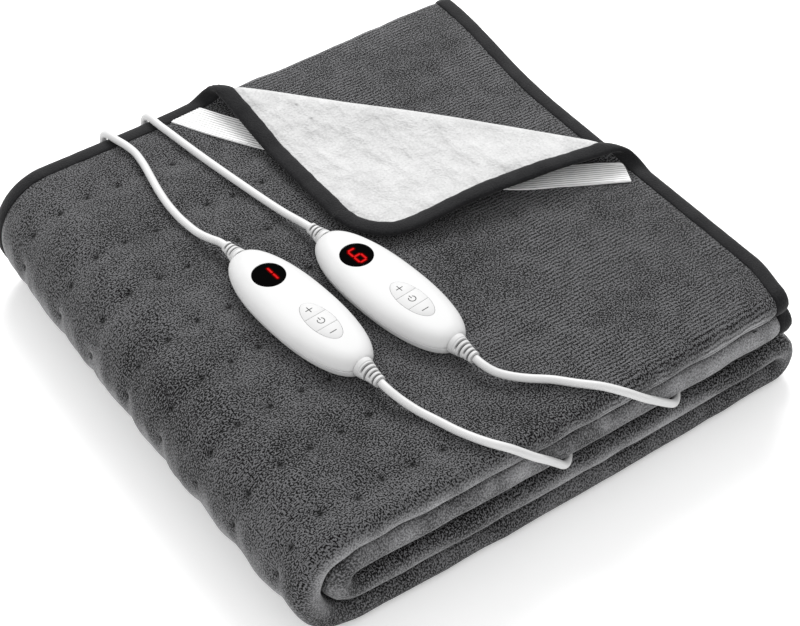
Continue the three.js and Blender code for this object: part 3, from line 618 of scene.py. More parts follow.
def follow(pieces, distance):
    """Place and heading at distances along a path; past its ends the end runs go on."""
    u, v, head_u, head_v = (np.zeros_like(distance) for _ in range(4))
    start = 0.0
    for index, piece in enumerate(pieces):
        first, last = index == 0, index == len(pieces) - 1
        here = (first | (distance > start)) & (last | (distance <= start + piece["length"]))
        past = distance[here] - start
        way, rise = piece["way"], piece["rise"]
        if rise:
            radius = abs(rise) / 2
            swing = past / radius
            u[here] = piece["u"] + way * radius * np.sin(swing)
            v[here] = piece["v"] + np.sign(rise) * radius * (1 - np.cos(swing))
            head_u[here] = way * np.cos(swing)
            head_v[here] = np.sign(rise) * np.sin(swing)
        else:
            u[here] = piece["u"] + way * past
            v[here] = piece["v"]
            head_u[here] = way
        start += piece["length"]
    return u, v, head_u, head_v


# The turned-back corner in profile: a roll, a slope down and an easing onto the sheet below
ROLL_ARC = TURN_RADIUS * (pi + TURN_DROP)
ROLL_TOP = TURN_RADIUS * (1 + cos(TURN_DROP))
EASE_ARC = TURN_EASE * TURN_DROP
EASE_DROP = TURN_EASE * (1 - cos(TURN_DROP))
SLOPE = (ROLL_TOP - EASE_DROP - TURN_REST) / sin(TURN_DROP)
ROLL_PARTS = 14


def roll_over(distance):
    """Where a distance past the turn's first line comes to, along and over that line's sheet."""
    swing = distance / TURN_RADIUS
    on_roll = (
        TURN_RADIUS * np.sin(swing),
        TURN_RADIUS * (1 - np.cos(swing)),
        np.cos(swing),
        np.sin(swing),
    )
    roll_end = -TURN_RADIUS * sin(TURN_DROP)
    on_slope = np.clip(distance - ROLL_ARC, 0, SLOPE)
    past = np.maximum(distance - ROLL_ARC - SLOPE, 0)
    swing = TURN_DROP - np.minimum(past, EASE_ARC) / TURN_EASE
    level = np.maximum(past - EASE_ARC, 0)
    after = (
        roll_end - on_slope * cos(TURN_DROP) - TURN_EASE * (sin(TURN_DROP) - np.sin(swing)) - level,
        ROLL_TOP - on_slope * sin(TURN_DROP) - TURN_EASE * (np.cos(swing) - cos(TURN_DROP)),
        -np.cos(swing),
        -np.sin(swing),
    )
    return [np.where(distance <= ROLL_ARC, one, two) for one, two in zip(on_roll, after)]


def past_turn(x, y):
    return x * cos(TURN_ANGLE) + y * sin(TURN_ANGLE) - TURN_OFFSET


def along_turn(x, y):
    return x * sin(TURN_ANGLE) - y * cos(TURN_ANGLE)


def turn_rise(x, y):
    """The free side of the turned corner stands a little higher than its tip."""
    return TURN_RISE * ease(along_turn(x, y), 0, 0.070) * ease(past_turn(x, y), 0.020, 0.080)


def settle(places):
    """How the pack settles: every place in it moves a little, and its underside stays flat.

    u and w run from -1 to 1 over the pack, to the right and to the back.
    """
    x, y, z = places.T
    u = x / (PACK_X / 2)
    w = y / (PACK_Y / 2)
    crown = CROWN * (1 - np.minimum(1, u**4)) * (1 - np.minimum(1, w**4))
    bulge = LEFT_BULGE - LEFT_ENDS * w**4 - LEFT_SKEW * w
    end_draw = np.where(z > LEVEL_3 + LAYER_HALF, TOP_DRAW, 0)
    corner_draw = np.where(z > LEVEL_2 + LAYER_HALF, CORNER_DRAW, 0)
    drawn = end_draw * ease(-w, -0.94, -0.25) + corner_draw * ease(-w, 0.8, 1)
    rise = BACK_RISE * ease(u, 0, 1) * ease(w, 0, 1)
    lift = BACK_LIFT * ease(u, -0.1, 0.6) + TURN_LIFT * fade(u, TURN_LIFT_REACH)
    lift = lift * ease(w, 0.45, 0.95) * ease(z, LEVEL_2 + LAYER_HALF, LEVEL_4)
    return np.stack((
        x - bulge * ease(-u, 0.3, 1) - drawn * ease(u, 0.3, 1),
        y - FRONT_BULGE * (1 - np.minimum(1, u * u)) * ease(-w, 0.2, 1),
        z * (1 + crown + rise) + lift,
    ), axis=1)


def folded(a, b, lift):
    """The folded places of spots of the flat cloth, lifted off its middle towards its outer face."""
    a, b, lift = (np.asarray(each, dtype=float) for each in np.broadcast_arrays(a, b, lift))
    x, level, head_x, head_z = follow(STRIP, a)
    y, over, head_y, head_over = follow(LAYER, b)
    offset = over - lift * head_y
    places = np.stack((x + offset * head_z, y + lift * head_over, level - offset * head_x), axis=1)
    past = past_turn(x, y)
    turned = (a < TOP_RUN) & (b < SHEET_RUN) & (past > 0)
    along, height, head_along, head_height = roll_over(np.maximum(past, 0))
    shift = along - past - lift * head_height + TURN_SHORT * np.maximum(-along, 0)
    corner = np.stack((
        x + shift * cos(TURN_ANGLE),
        y + shift * sin(TURN_ANGLE),
        LEVEL_4 + SHEET_PITCH + height + lift * head_along + turn_rise(x, y),
    ), axis=1)
    places[turned] = corner[turned]
    return settle(places)


def divisions(pieces, end):
    """Every distance at which the flat cloth is divided in one direction."""
    edge = np.linspace(0, CORNER_RADIUS, CORNER_PARTS + 1)
    marks = [edge]
    start = 0.0
    for index, piece in enumerate(pieces):
        low = CORNER_RADIUS if index == 0 else start
        start += piece["length"]
        high = end - CORNER_RADIUS if index == len(pieces) - 1 else start
        parts = max(1, ceil((high - low) / piece["step"]))
        marks.append(np.linspace(low, high, parts + 1)[1:])
    marks.append(end - edge[::-1][1:])
    return np.concatenate(marks)


def past_middle(a, b):
    """How far spots lie past the cloth's middle part, which ends where its corners begin to round."""
    near_a = np.clip(a, CORNER_RADIUS, FLAT_A - CORNER_RADIUS)
    near_b = np.clip(b, CORNER_RADIUS, FLAT_B - CORNER_RADIUS)
    past_a, past_b = a - near_a, b - near_b
    return past_a, past_b, (past_a != 0) & (past_b != 0)


def to_corner(a, b):
    """Spots of a plain rectangle drawn in to the cloth's rounded corners."""
    past_a, past_b, in_corner = past_middle(a, b)
    reach = np.maximum(np.hypot(past_a, past_b), 1e-9)
    pull = np.where(in_corner, 1 - np.maximum(abs(past_a), abs(past_b)) / reach, 0)
    return a - past_a * pull, b - past_b * pull


def to_edge(a, b):
    """How far inside the cloth's rounded edge a spot lies."""
    past_a, past_b, in_corner = past_middle(a, b)
    plain = np.minimum.reduce((a, b, FLAT_A - a, FLAT_B - b))
    return np.where(in_corner, CORNER_RADIUS - np.hypot(past_a, past_b), plain)


# Rows of tacks in the left part of the top sheet: each row's place across, and its right end
TACK_ROWS = (
    (-0.177, -0.080), (-0.131, -0.080), (-0.090, -0.080), (-0.043, -0.080),
    (0.000, -0.060), (0.050, -0.030), (0.094, -0.038), (0.149, -0.050),
)
TACK_PITCH = 0.0207
TACK_WANDER = 0.0012
TACK_LAST = TOP_RUN + 0.110
TACK_DIMPLE = 0.0095
TACK_HOLE = 0.0021
UNDER_TACKS = np.array(((0.156, 0.040), (0.139, 0.042)))
UNDER_TACK_HOLE = 0.0012
NEAR_TACK = 0.0045
ROW_WIDTH = 0.010

# How deep the tacks and their rows draw the pile side in, and how high its waves stand
DIMPLE_DEPTH = 0.0011
HOLE_DEPTH = 0.0012
ROW_DEPTH = 0.0009
WAVES = 5
LONG_WAVE = 0.055
LONG_WAVE_HEIGHT = 0.0006
SHORT_WAVE = 0.022
SHORT_WAVE_HEIGHT = 0.0004
TURN_WAVE_HEIGHT = 0.0008
random = np.random.default_rng(5)


def tack_spots():
    spots = []
    for y, right in TACK_ROWS:
        a = TACK_LAST
        while a > TOP_END_X - right:
            wander = random.normal(0, TACK_WANDER, 2)
            spots.append((a + wander[0], BOUND_Y - y + wander[1]))
            a -= TACK_PITCH
    return np.array(spots)


TACKS = tack_spots()


def waves(a, b, seed, size):
    """Soft unevenness of the cloth, from crossing waves of about one size."""
    draw = np.random.default_rng(seed)
    total = np.zeros_like(a)
    for _ in range(WAVES):
        way = draw.uniform(0, 2 * pi)
        length = size * draw.uniform(0.7, 1.5)
        total += np.sin(2 * pi * (a * cos(way) + b * sin(way)) / length + draw.uniform(0, 2 * pi))
    return total / WAVES


def nearness(spots, a, b, reach):
    """1 at the closest of the spots, falling to nothing past its reach."""
    gap = np.full_like(a, 1.0)
    for spot_a, spot_b in spots:
        gap = np.minimum(gap, np.hypot(a - spot_a, b - spot_b))
    return fade(gap, reach)


def on_tack_row(a, b):
    """Nearness to the line of the closest row of tacks, to the left of the row's right end."""
    depth = np.zeros_like(a)
    for y, right in TACK_ROWS:
        on_row = ease(a, TOP_END_X - right - 0.02, TOP_END_X - right + 0.03)
        on_row *= ease(-a, -TACK_LAST - 0.02, -TACK_LAST)
        depth = np.maximum(depth, on_row * fade(b - (BOUND_Y - y), ROW_WIDTH))
    return depth


def relief(a, b):
    """How far the pile side stands off its plain level."""
    on_turn = ease(a, TOP_RUN - 0.03, TOP_RUN + 0.02) * ease(-a, -TOP_RUN - 0.13, -TOP_RUN - 0.09)
    height = LONG_WAVE_HEIGHT * waves(a, b, 3, LONG_WAVE)
    height += (SHORT_WAVE_HEIGHT + TURN_WAVE_HEIGHT * on_turn) * waves(a, b, 4, SHORT_WAVE)
    height -= DIMPLE_DEPTH * nearness(TACKS, a, b, TACK_DIMPLE)
    height -= HOLE_DEPTH * nearness(TACKS, a, b, TACK_HOLE)
    return height - ROW_DEPTH * on_tack_row(a, b)


def on_nose(a, b):
    """How far a spot lies round the front fold of its layer, where a painted sheen band pales the pile,
    weaker on the bottom layer.
    """
    _, level, _, _ = follow(STRIP, a)
    swing = (b - SHEET_RUN) / SHEET_PITCH
    round_fold = ease(swing, 0.7, 2.0) * ease(-swing, -3.0, -2.6)
    return round_fold * (0.15 + 0.85 * ease(level, LEVEL_1, LEVEL_2 - 0.004))


def near_tack(face):
    middle = face.calc_center_median()
    spots = np.concatenate((TACKS, UNDER_TACKS))
    return min(np.hypot(spots[:, 0] - middle.x, spots[:, 1] - middle.y)) < NEAR_TACK


def flat_cloth():
    """The flat cloth as spots and faces, divided along the lines of the turned corner's roll."""
    marks_a, marks_b = divisions(STRIP, FLAT_A), divisions(LAYER, FLAT_B)
    plain_a, plain_b = np.meshgrid(marks_a, marks_b)
    a, b = to_corner(plain_a.ravel(), plain_b.ravel())
    cloth = bmesh.new()
    spots = [cloth.verts.new((u, v, 0)) for u, v in zip(a, b)]
    row = len(marks_a)
    for j in range(len(marks_b) - 1):
        for i in range(row - 1):
            k = j * row + i
            cloth.faces.new((spots[k], spots[k + 1], spots[k + row + 1], spots[k + row]))
    fine = {edge for face in cloth.faces if near_tack(face) for edge in face.edges}
    bmesh.ops.subdivide_edges(cloth, edges=list(fine), cuts=2, use_grid_fill=True)
    lines = [ROLL_ARC * k / ROLL_PARTS for k in range(ROLL_PARTS + 1)]
    lines += [ROLL_ARC + SLOPE, ROLL_ARC + SLOPE + EASE_ARC]
    normal = Vector((-cos(TURN_ANGLE), -sin(TURN_ANGLE), 0))
    for line in lines:
        middle = Vector((TOP_END_X, BOUND_Y, 0)) + normal * (TURN_OFFSET + line)
        corner = [f for f in cloth.faces if all(v.co.x < TOP_RUN and v.co.y < SHEET_RUN for v in f.verts)]
        geometry = {item for f in corner for item in (f, *f.edges, *f.verts)}
        bmesh.ops.bisect_plane(cloth, geom=list(geometry), dist=0.0006, plane_co=middle, plane_no=normal)
    cloth.verts.index_update()
    places = np.array([v.co for v in cloth.verts])[:, :2]
    faces = [tuple(v.index for v in f.verts) for f in cloth.faces]
    rim = [(e.link_loops[0].vert.index, e.link_loops[0].link_loop_next.vert.index)
           for e in cloth.edges if e.is_boundary]
    cloth.free()
    return places[:, 0], places[:, 1], faces, rim


def add_cloth():
    a, b, faces, rim = flat_cloth()
    inside = to_edge(a, b)
    full = ease(inside, BINDING_WIDTH - 0.002, BINDING_WIDTH + 0.006)
    upper = folded(a, b, EDGE_HALF + (SHEET / 2 - EDGE_HALF + relief(a, b)) * full)
    lower = folded(a, b, -EDGE_HALF - (SHEET / 2 - EDGE_HALF) * full)
    upper[:, 2] = np.maximum(upper[:, 2], FLOOR_CLEAR)
    count = len(a)
    under = [tuple(i + count for i in reversed(face)) for face in faces]
    edge = [(j, i, i + count, j + count) for i, j in rim]
    shape = np.concatenate((upper, lower)), faces + under + edge
    flat = np.stack((a, b), axis=1)
    cloth = add_piece(
        "folded_cloth", shape, (FLANNEL, UNDERSIDE), ["blanket"],
        flat=np.concatenate((flat, flat)), crease=80,
    )
    sides = np.zeros(len(cloth.data.polygons), dtype=np.int32)
    sides[len(faces):] = 1
    if len(sides) != len(shape[1]):
        raise ValueError("a face of the cloth was lost")
    cloth.data.polygons.foreach_set("material_index", sides)
    # Painted shade at the tack holes of both sides
    tufts = nearness(TACKS, a, b, TACK_HOLE), nearness(UNDER_TACKS, a, b, UNDER_TACK_HOLE)
    add_attribute(cloth, "tack_hole_shade", np.concatenate(tufts))
    # The painted sheen band round the front folds, on the pile side only
    add_attribute(cloth, "nose_sheen", np.concatenate((on_nose(a, b), np.zeros(count))))
    return cloth


cloth = add_cloth()


# The binding tape, folded over the cloth's edge all the way round
TAPE_STEP = 0.003
PUCKERS = (0.011, 0.017, 0.029, 0.053, 0.11)
PUCKER_IN = 0.0005
PUCKER_UP = 0.10


def edge_stations():
    """Spots along the cloth's rounded edge, each with its outward direction on the flat cloth."""
    low, high_a, high_b = CORNER_RADIUS, FLAT_A - CORNER_RADIUS, FLAT_B - CORNER_RADIUS
    corners = np.array(((low, low), (high_a, low), (high_a, high_b), (low, high_b)))
    turn_parts = ceil(CORNER_RADIUS * pi / 2 / TAPE_STEP)
    stations = []
    for side, (start, end) in enumerate(zip(corners, np.roll(corners, -1, axis=0))):
        facing = pi / 2 * (side - 1)
        run_parts = ceil(np.linalg.norm(end - start) / TAPE_STEP)
        middles = [(start + (end - start) * k / run_parts, facing) for k in range(run_parts)]
        middles += [(end, facing + pi / 2 * k / turn_parts) for k in range(turn_parts)]
        for middle, turn in middles:
            out = np.array((cos(turn), sin(turn)))
            stations.append((*(middle + CORNER_RADIUS * out), *out))
    return np.array(stations)


# The tape's section: distance in from the edge and height off the cloth's middle, upper side first
TAPE_OUTER = (
    (0.0110, 0.0016), (0.0104, 0.0023), (0.0086, 0.0028), (0.0062, 0.00295), (0.0036, 0.0028),
    (0.0012, 0.0023), (-0.0006, 0.0016), (-0.0016, 0.0),
)
TAPE_INNER = ((0.0020, 0.0), (0.0022, 0.0014), (0.0106, 0.0014))


def add_binding():
    a, b, out_a, out_b = edge_stations().T
    along = np.arange(len(a)) * TAPE_STEP
    section = [*TAPE_OUTER, *((x, -z) for x, z in reversed(TAPE_OUTER[:-1]))]
    section += [(x, -z) for x, z in reversed(TAPE_INNER)] + list(TAPE_INNER[1:])
    draw = np.random.default_rng(11)
    pucker = np.zeros_like(along)
    for length in PUCKERS:
        pucker += np.sin(2 * pi * along / length + draw.uniform(0, 2 * pi)) / len(PUCKERS)
    rings = []
    for inward, lift in section:
        inward = inward + (PUCKER_IN * pucker if inward > 0.010 else 0)
        lift = lift * (1 + PUCKER_UP * pucker) if abs(lift) > 0.0015 else lift
        rings.append(folded(a - out_a * inward, b - out_b * inward, lift * np.ones_like(a)))
    places = np.stack(rings, axis=1).reshape(-1, 3)
    places[:, 2] = np.maximum(places[:, 2], FLOOR_CLEAR)
    across = np.array([inward for inward, _ in section])
    flat = np.stack((np.repeat(along, len(section)), np.tile(across, len(a))), axis=1)
    shape = places, ring_faces(len(a), len(section), looped=True)
    return add_piece("bound_edge", shape, TAPE, ["edge_binding"], flat=flat, crease=100)


binding = add_binding()


# The elastic strap, by its middle line on the top sheet from the back binding to the right one
STRAP_LINE = (
    (-0.049, 0.190), (-0.033, 0.158), (-0.012, 0.125), (0.026, 0.072),
    (0.064, 0.027), (0.102, -0.006), (0.134, -0.023), (0.183, -0.046),
)
STRAP_THICKNESS = 0.0012
STRAP_STEPS = 90
STRAP_STEP = 0.0037
STRAP_RIB_HEIGHT = 0.00016
STRAP_RIB_PARTS = 6


def strap_middle(t):
    """Place and heading on the strap's line, at t from 0 to 1."""
    points = [np.array(point) for point in STRAP_LINE]
    place = t * (len(points) - 1)
    index = min(int(place), len(points) - 2)
    w = place - index
    p0, p1 = points[max(index - 1, 0)], points[index]
    p2, p3 = points[index + 1], points[min(index + 2, len(points) - 1)]
    v1, v2 = (p2 - p0) / 2, (p3 - p1) / 2
    bend = 2 * p1 - 2 * p2 + v1 + v2
    turn = -3 * p1 + 3 * p2 - 2 * v1 - v2
    heading = 3 * bend * w * w + 2 * turn * w + v1
    return bend * w**3 + turn * w * w + v1 * w + p1, heading / np.linalg.norm(heading)


def add_strap():
    across = np.linspace(-1, 1, STRAP_RIB_PARTS * STRAP_RIBS + 1)
    back = across[::-STRAP_RIB_PARTS]
    ribs = STRAP_RIB_HEIGHT * np.cos(across * STRAP_RIBS * pi)
    upper = np.stack((across, SHEET / 2 + CLEAR + STRAP_THICKNESS - 0.0001 + ribs), axis=1)
    lower = np.stack((back, np.full(len(back), SHEET / 2 + CLEAR)), axis=1)
    section = np.concatenate((upper, lower))
    places, flat = [], []
    for k in range(STRAP_STEPS + 1):
        middle, heading = strap_middle(k / STRAP_STEPS)
        half = section[:, 0] * STRAP_WIDTH / 2
        x = np.minimum(middle[0] - half * heading[1], TOP_END_X - BINDING_WIDTH - 2 * CLEAR)
        y = np.minimum(middle[1] + half * heading[0], BOUND_Y - BINDING_WIDTH - 2 * CLEAR)
        places.append(folded(TOP_END_X - x, BOUND_Y - y, section[:, 1]))
        flat.append(np.stack((half, np.full_like(half, k * STRAP_STEP)), axis=1))
    faces = [tuple(reversed(face)) for face in ring_faces(STRAP_STEPS + 1, len(section))]
    shape, flat = (np.concatenate(places), faces), np.concatenate(flat)
    return add_piece("elastic_strap", shape, ELASTIC, ["corner_strap"], flat=flat, crease=60)


strap = add_strap()


# Controllers
BODY_LENGTH = 0.134
BODY_WIDTH = 0.049
BODY_HEIGHT = 0.016
BODY_END = 0.064
BODY_POWER = 2.25
BODY_PARTS = 120
SEAM_HEIGHT = 0.0075
DISPLAY_RADIUS = 0.0115
DISPLAY_PLACE = 0.032
DISPLAY_DEPTH = 0.0022
PAD_LENGTH = 0.039
PAD_WIDTH = 0.018
PAD_PLACE = -0.023
PAD_PARTS = 24
POCKET_DEPTH = 0.0046
KEY_HEIGHT = 0.0034
KEY_PROUD = 0.0002
KEY_GAP = 0.0002
KEY_SPLIT = 0.006

# Rows of inset and depth below the top, upwards, of the display window and of the keys
WINDOW_EDGE = ((0, DISPLAY_DEPTH), (0, 0.0004), (0.0001, 0.00012), (0.0004, 0), (0.003, 0))
KEY_EDGE = ((0, KEY_HEIGHT), (0, 0.00035), (0.00005, 0.0001), (0.0002, 0))

# Each controller's middle on the pack and its heading
CONTROLLERS = (((-0.0938, -0.038), radians(94.5)), ((-0.0358, -0.0552), radians(96)))
REST_GAP = 0.0005
CORD_HEIGHT = 0.0074

# Rows of inset and height of the two shells' outlines
LOWER_SHELL = (
    (0.0080, 0.0), (0.0055, 0.00005), (0.0037, 0.0004), (0.0024, 0.001), (0.0014, 0.0021),
    (0.0007, 0.0035), (0.0002, 0.0055), (0.0, 0.0070), (0.0003, SEAM_HEIGHT - CLEAR / 2),
)
UPPER_SHELL = (
    (0.0003, SEAM_HEIGHT + CLEAR / 2), (0.0, 0.0080), (0.0002, 0.0090), (0.0008, 0.0102),
    (0.0016, 0.0116), (0.0028, 0.0129), (0.0042, 0.01402), (0.0060, 0.0149), (0.0080, 0.0155),
    (0.0102, 0.0158), (0.0128, 0.01595), (0.0160, 0.0160), (0.0200, 0.0160),
)


def full_oval(turn, power):
    """An oval of half size 1, fuller than a circle the higher the power."""
    return [np.sign(each) * abs(each) ** (2 / power) for each in (np.cos(turn), np.sin(turn))]


def body_outline(inset, height):
    turn = 2 * pi * (np.arange(BODY_PARTS) + 0.5) / BODY_PARTS
    x, y = full_oval(turn, BODY_POWER)
    x = np.clip((BODY_LENGTH / 2 - inset) * x, -BODY_END, BODY_END)
    return np.stack((x, (BODY_WIDTH / 2 - inset) * y, np.full_like(x, height)), axis=1)


def pad_outline(inset, low=-PAD_LENGTH, high=PAD_LENGTH):
    """An outline of the pad between two places along it; the whole pad with no limits."""
    along, across = PAD_LENGTH / 2 - inset, PAD_WIDTH / 2 - inset
    start = acos(max(-1, min(1, high / along)))
    end = acos(max(-1, min(1, low / along)))
    turns = np.linspace(start, end, PAD_PARTS + 1)
    upper = np.stack((along * np.cos(turns), across * np.sin(turns)), axis=1)
    lower = upper[::-1] * (1, -1)
    corners = np.concatenate((upper, lower))
    apart = np.linalg.norm(corners - np.roll(corners, -1, axis=0), axis=1) > 1e-6
    return corners[apart] + (PAD_PLACE, 0)


def loft(rows):
    """Places and faces of a solid through rows of equal count, each above the last."""
    return np.concatenate(rows), ring_faces(len(rows), len(rows[0]))


def at_height(outline, height):
    return np.column_stack((outline, np.full(len(outline), height)))


def circle(radius, height, centre=(0, 0), parts=48):
    turn = 2 * pi * np.arange(parts) / parts
    return np.stack((
        centre[0] + radius * np.cos(turn), centre[1] + radius * np.sin(turn), np.full(parts, height),
    ), axis=1)


def cut(piece, shapes, at):
    """Cuts closed shapes out of a piece."""
    for shape in shapes:
        cutter = add_object("cutter", new_mesh("cutter", shape, at))
        modifier = piece.modifiers.new("cut", "BOOLEAN")
        modifier.operation = "DIFFERENCE"
        modifier.solver = "EXACT"
        modifier.object = cutter
        bpy.context.view_layer.update()
        whole = piece.evaluated_get(bpy.context.evaluated_depsgraph_get())
        result = bpy.data.meshes.new_from_object(whole)
        piece.modifiers.remove(modifier)
        piece.data = result
        bpy.data.objects.remove(cutter)


RELIEF_ROWS = 120
RELIEF_PARTS = 40
RELIEF_COLLAR = 0.22
RELIEF_SLOTS_END = 0.94
RELIEF_CORE = 0.0031
SLOT_DEPTH = 0.0024
FINE_GROOVE = 0.0004

# Each controller's two strain reliefs: length, radius at the root and at the tip, slots, and way
RELIEFS = {
    "upper": (0.015, 0.0064, 0.0041, 3, 1),
    "lower": (0.0175, 0.0072, 0.0042, 4, -1),
}


def add_relief(number, end, at):
    """A strain relief: a smooth collar, a fine groove, then slots, every second one open at the sides."""
    length, root, tip, slots, way = RELIEFS[end]
    places, slot_shade = [], []
    for row in range(RELIEF_ROWS + 1):
        t = row / RELIEF_ROWS
        radius = root + (tip - root) * float(ease(t, 0, 1)) ** 0.8
        phase = (t - RELIEF_COLLAR) / (RELIEF_SLOTS_END - RELIEF_COLLAR) * slots
        fine = FINE_GROOVE * float(ease(abs(t - RELIEF_COLLAR + 0.02), 0.03, 0.01))
        x = way * (BODY_END + CLEAR + t * length)
        for k in range(RELIEF_PARTS):
            turn = 2 * pi * k / RELIEF_PARTS
            slot = 0.0
            if 0 < phase < slots:
                side = ease(abs(sin(turn)), 0.25, 0.6) if int(phase) % 2 == 0 else 1.0
                slot = float(ease(abs(phase % 1 - 0.5), 0.27, 0.13) * side)
            r = radius - fine - min(SLOT_DEPTH, radius - RELIEF_CORE) * slot
            places.append((x, r * cos(turn) * way, r * sin(turn) + CORD_HEIGHT))
            # How deep in its slot a point lies, for the painted shade there
            slot_shade.append(slot)
    shape = places, ring_faces(RELIEF_ROWS + 1, RELIEF_PARTS)
    nodes = [f"controller_{number}_{end}_relief"]
    piece = add_piece(
        f"controller_{number}_{end}_boot", shape, SOFT_PLASTIC, nodes, at, crease=60,
    )
    add_attribute(piece, "slot", slot_shade)


MARK_DEPTH = 0.00012


def raised(ring, height):
    return loft([at_height(ring, height - MARK_DEPTH), at_height(ring, height)])


def bar(start, end, width, height):
    """A thin raised bar with rounded ends on a level surface."""
    start, end = np.array(start, dtype=float), np.array(end, dtype=float)
    way = (end - start) / np.linalg.norm(end - start)
    side = np.array((-way[1], way[0]))
    ring = []
    for centre, spin in ((end, 0), (start, pi)):
        for k in range(7):
            turn = spin - pi / 2 + pi * k / 6
            ring.append(centre + (way * cos(turn) + side * sin(turn)) * width / 2)
    return raised(np.array(ring), height)


def arc(radius, width, gap, height):
    """A thin raised ring with a gap around +X."""
    turns = np.linspace(gap, 2 * pi - gap, 36)
    round_way = np.stack((np.cos(turns), np.sin(turns)), axis=1)
    sides = round_way * (radius + width / 2), round_way[::-1] * (radius - width / 2)
    return raised(np.concatenate(sides), height)


def joined(shapes):
    places, faces = [], []
    for shape_places, shape_faces in shapes:
        start = sum(len(each) for each in places)
        places.append(np.array(shape_places))
        faces += [tuple(i + start for i in face) for face in shape_faces]
    return np.concatenate(places), faces


KEYS = {
    "plus": (KEY_SPLIT + KEY_GAP / 2, PAD_LENGTH),
    "power": (-KEY_SPLIT + KEY_GAP / 2, KEY_SPLIT - KEY_GAP / 2),
    "minus": (-PAD_LENGTH, -KEY_SPLIT - KEY_GAP / 2),
}
ICON_LEVEL = BODY_HEIGHT + KEY_PROUD + 0.00008
ICON_WIDTH = 0.00056
SIGN_PLACE = 0.0125
SIGN_HALF = 0.0025
POWER_RADIUS = 0.0024
POWER_GAP = radians(38)
POWER_STROKE = (0.0008, 0.0031)


def icon(key):
    """A plus, a minus, or a ring with a stroke in its gap."""
    if key == "power":
        ring = arc(POWER_RADIUS, ICON_WIDTH, POWER_GAP, ICON_LEVEL)
        stroke = bar(*((x, 0) for x in POWER_STROKE), ICON_WIDTH, ICON_LEVEL)
        places, faces = joined((ring, stroke))
        return places + (PAD_PLACE, 0, 0), faces
    x = PAD_PLACE + (SIGN_PLACE if key == "plus" else -SIGN_PLACE)
    strokes = [bar((x, -SIGN_HALF), (x, SIGN_HALF), ICON_WIDTH, ICON_LEVEL)]
    if key == "plus":
        strokes.append(bar((x - SIGN_HALF, 0), (x + SIGN_HALF, 0), ICON_WIDTH, ICON_LEVEL - 0.00002))
    return joined(strokes)


# The strokes of a display figure by their two ends: up in half heights, and to the left in widths
STROKES = {
    "top": ((1, 0.5), (1, -0.5)), "middle": ((0, 0.5), (0, -0.5)), "bottom": ((-1, 0.5), (-1, -0.5)),
    "upper_left": ((1, 0.5), (0, 0.5)), "lower_left": ((0, 0.5), (-1, 0.5)),
    "upper_right": ((1, -0.5), (0, -0.5)), "lower_right": ((0, -0.5), (-1, -0.5)),
}

# What each controller's display shows: a one and a six
FIGURES = {
    1: ("upper_right", "lower_right"),
    2: ("top", "upper_left", "middle", "lower_left", "lower_right", "bottom"),
}
FIGURE_HALF = 0.0066
FIGURE_WIDE = 0.0056
FIGURE_LEAN = 0.03
FIGURE_SHIFT = -0.0006
FIGURE_TRIM = 0.17
FIGURE_STROKE = 0.0014
HALO_STROKE = 0.0030


def figure(number, stroke, height):
    bars = []
    for name in FIGURES[number]:
        ends = np.array(STROKES[name]) * (FIGURE_HALF, FIGURE_WIDE)
        ends[:, 1] -= FIGURE_LEAN * ends[:, 0]
        trim = (ends[1] - ends[0]) * FIGURE_TRIM
        bars.append(bar(ends[0] + trim, ends[1] - trim, stroke, height))
    places, faces = joined(bars)
    return places + (DISPLAY_PLACE + FIGURE_SHIFT, 0, 0), faces


def add_controller(number, middle, heading):
    ground = settle(np.array([(*middle, TOP)]))[0][2] + REST_GAP
    at = Matrix.Translation((*middle, ground)) @ Matrix.Rotation(heading, 4, "Z")
    name = f"controller_{number}"
    for part, node, rows in (("base", "lower_shell", LOWER_SHELL), ("cover", "upper_shell", UPPER_SHELL)):
        shape = loft([body_outline(*row) for row in rows])
        shell = add_piece(
            f"{name}_{part}", shape, WHITE_PLASTIC, [f"{name}_{node}"], at, crease=35,
        )
    display = (DISPLAY_PLACE, 0)
    above = BODY_HEIGHT + 0.001
    well = loft([
        circle(DISPLAY_RADIUS, BODY_HEIGHT - DISPLAY_DEPTH - CLEAR, display),
        circle(DISPLAY_RADIUS, above, display),
    ])
    pocket = loft([at_height(pad_outline(0), height) for height in (BODY_HEIGHT - POCKET_DEPTH, above)])
    cut(shell, (well, pocket), at)

    radius = DISPLAY_RADIUS - CLEAR
    window = loft([circle(radius - inset, BODY_HEIGHT - depth, display) for inset, depth in WINDOW_EDGE])
    add_piece(
        f"{name}_window", window, BLACK_GLASS, [f"{name}_display"], at, crease=60,
    )
    for part, stroke, light, height in (
        ("halo", HALO_STROKE, DISPLAY_HALO, 0.00004), ("figure", FIGURE_STROKE, DISPLAY_LIGHT, 0.0001),
    ):
        shape = figure(number, stroke, BODY_HEIGHT + height)
        add_piece(f"{name}_{part}", shape, light, at=at, crease=0)

    for key, (low, high) in KEYS.items():
        top = BODY_HEIGHT + KEY_PROUD
        shape = loft([
            at_height(pad_outline(KEY_GAP + inset, low + inset, high - inset), top - depth)
            for inset, depth in KEY_EDGE
        ])
        body = f"key_body_{number}_{key}"
        nodes = [f"{name}_key_{key}"]
        add_piece(f"{name}_{key}_cap", shape, SOFT_PLASTIC, nodes, at, body, crease=50)
        add_piece(f"{name}_{key}_mark", icon(key), PRINT, (), at, body, crease=0)

    for end in RELIEFS:
        add_relief(number, end, at)


for number, controller in zip(SIDES, CONTROLLERS):
    add_controller(number, *controller)


RELIEF_GROOVES = 6


def grooved(root, tip, depth, first, soft, rows):
    """Outlines of a plain strain relief with grooves, each with how far along it lies, from 0 to 1."""
    for row in range(rows + 1):
        t = row / rows
        within = abs(t * RELIEF_GROOVES % 1 - 0.5)
        groove = depth * float(ease(within, 0.3, soft)) if first < t < 0.9 else 0
        yield t, circle(root + (tip - root) * t - groove, 0, parts=32)


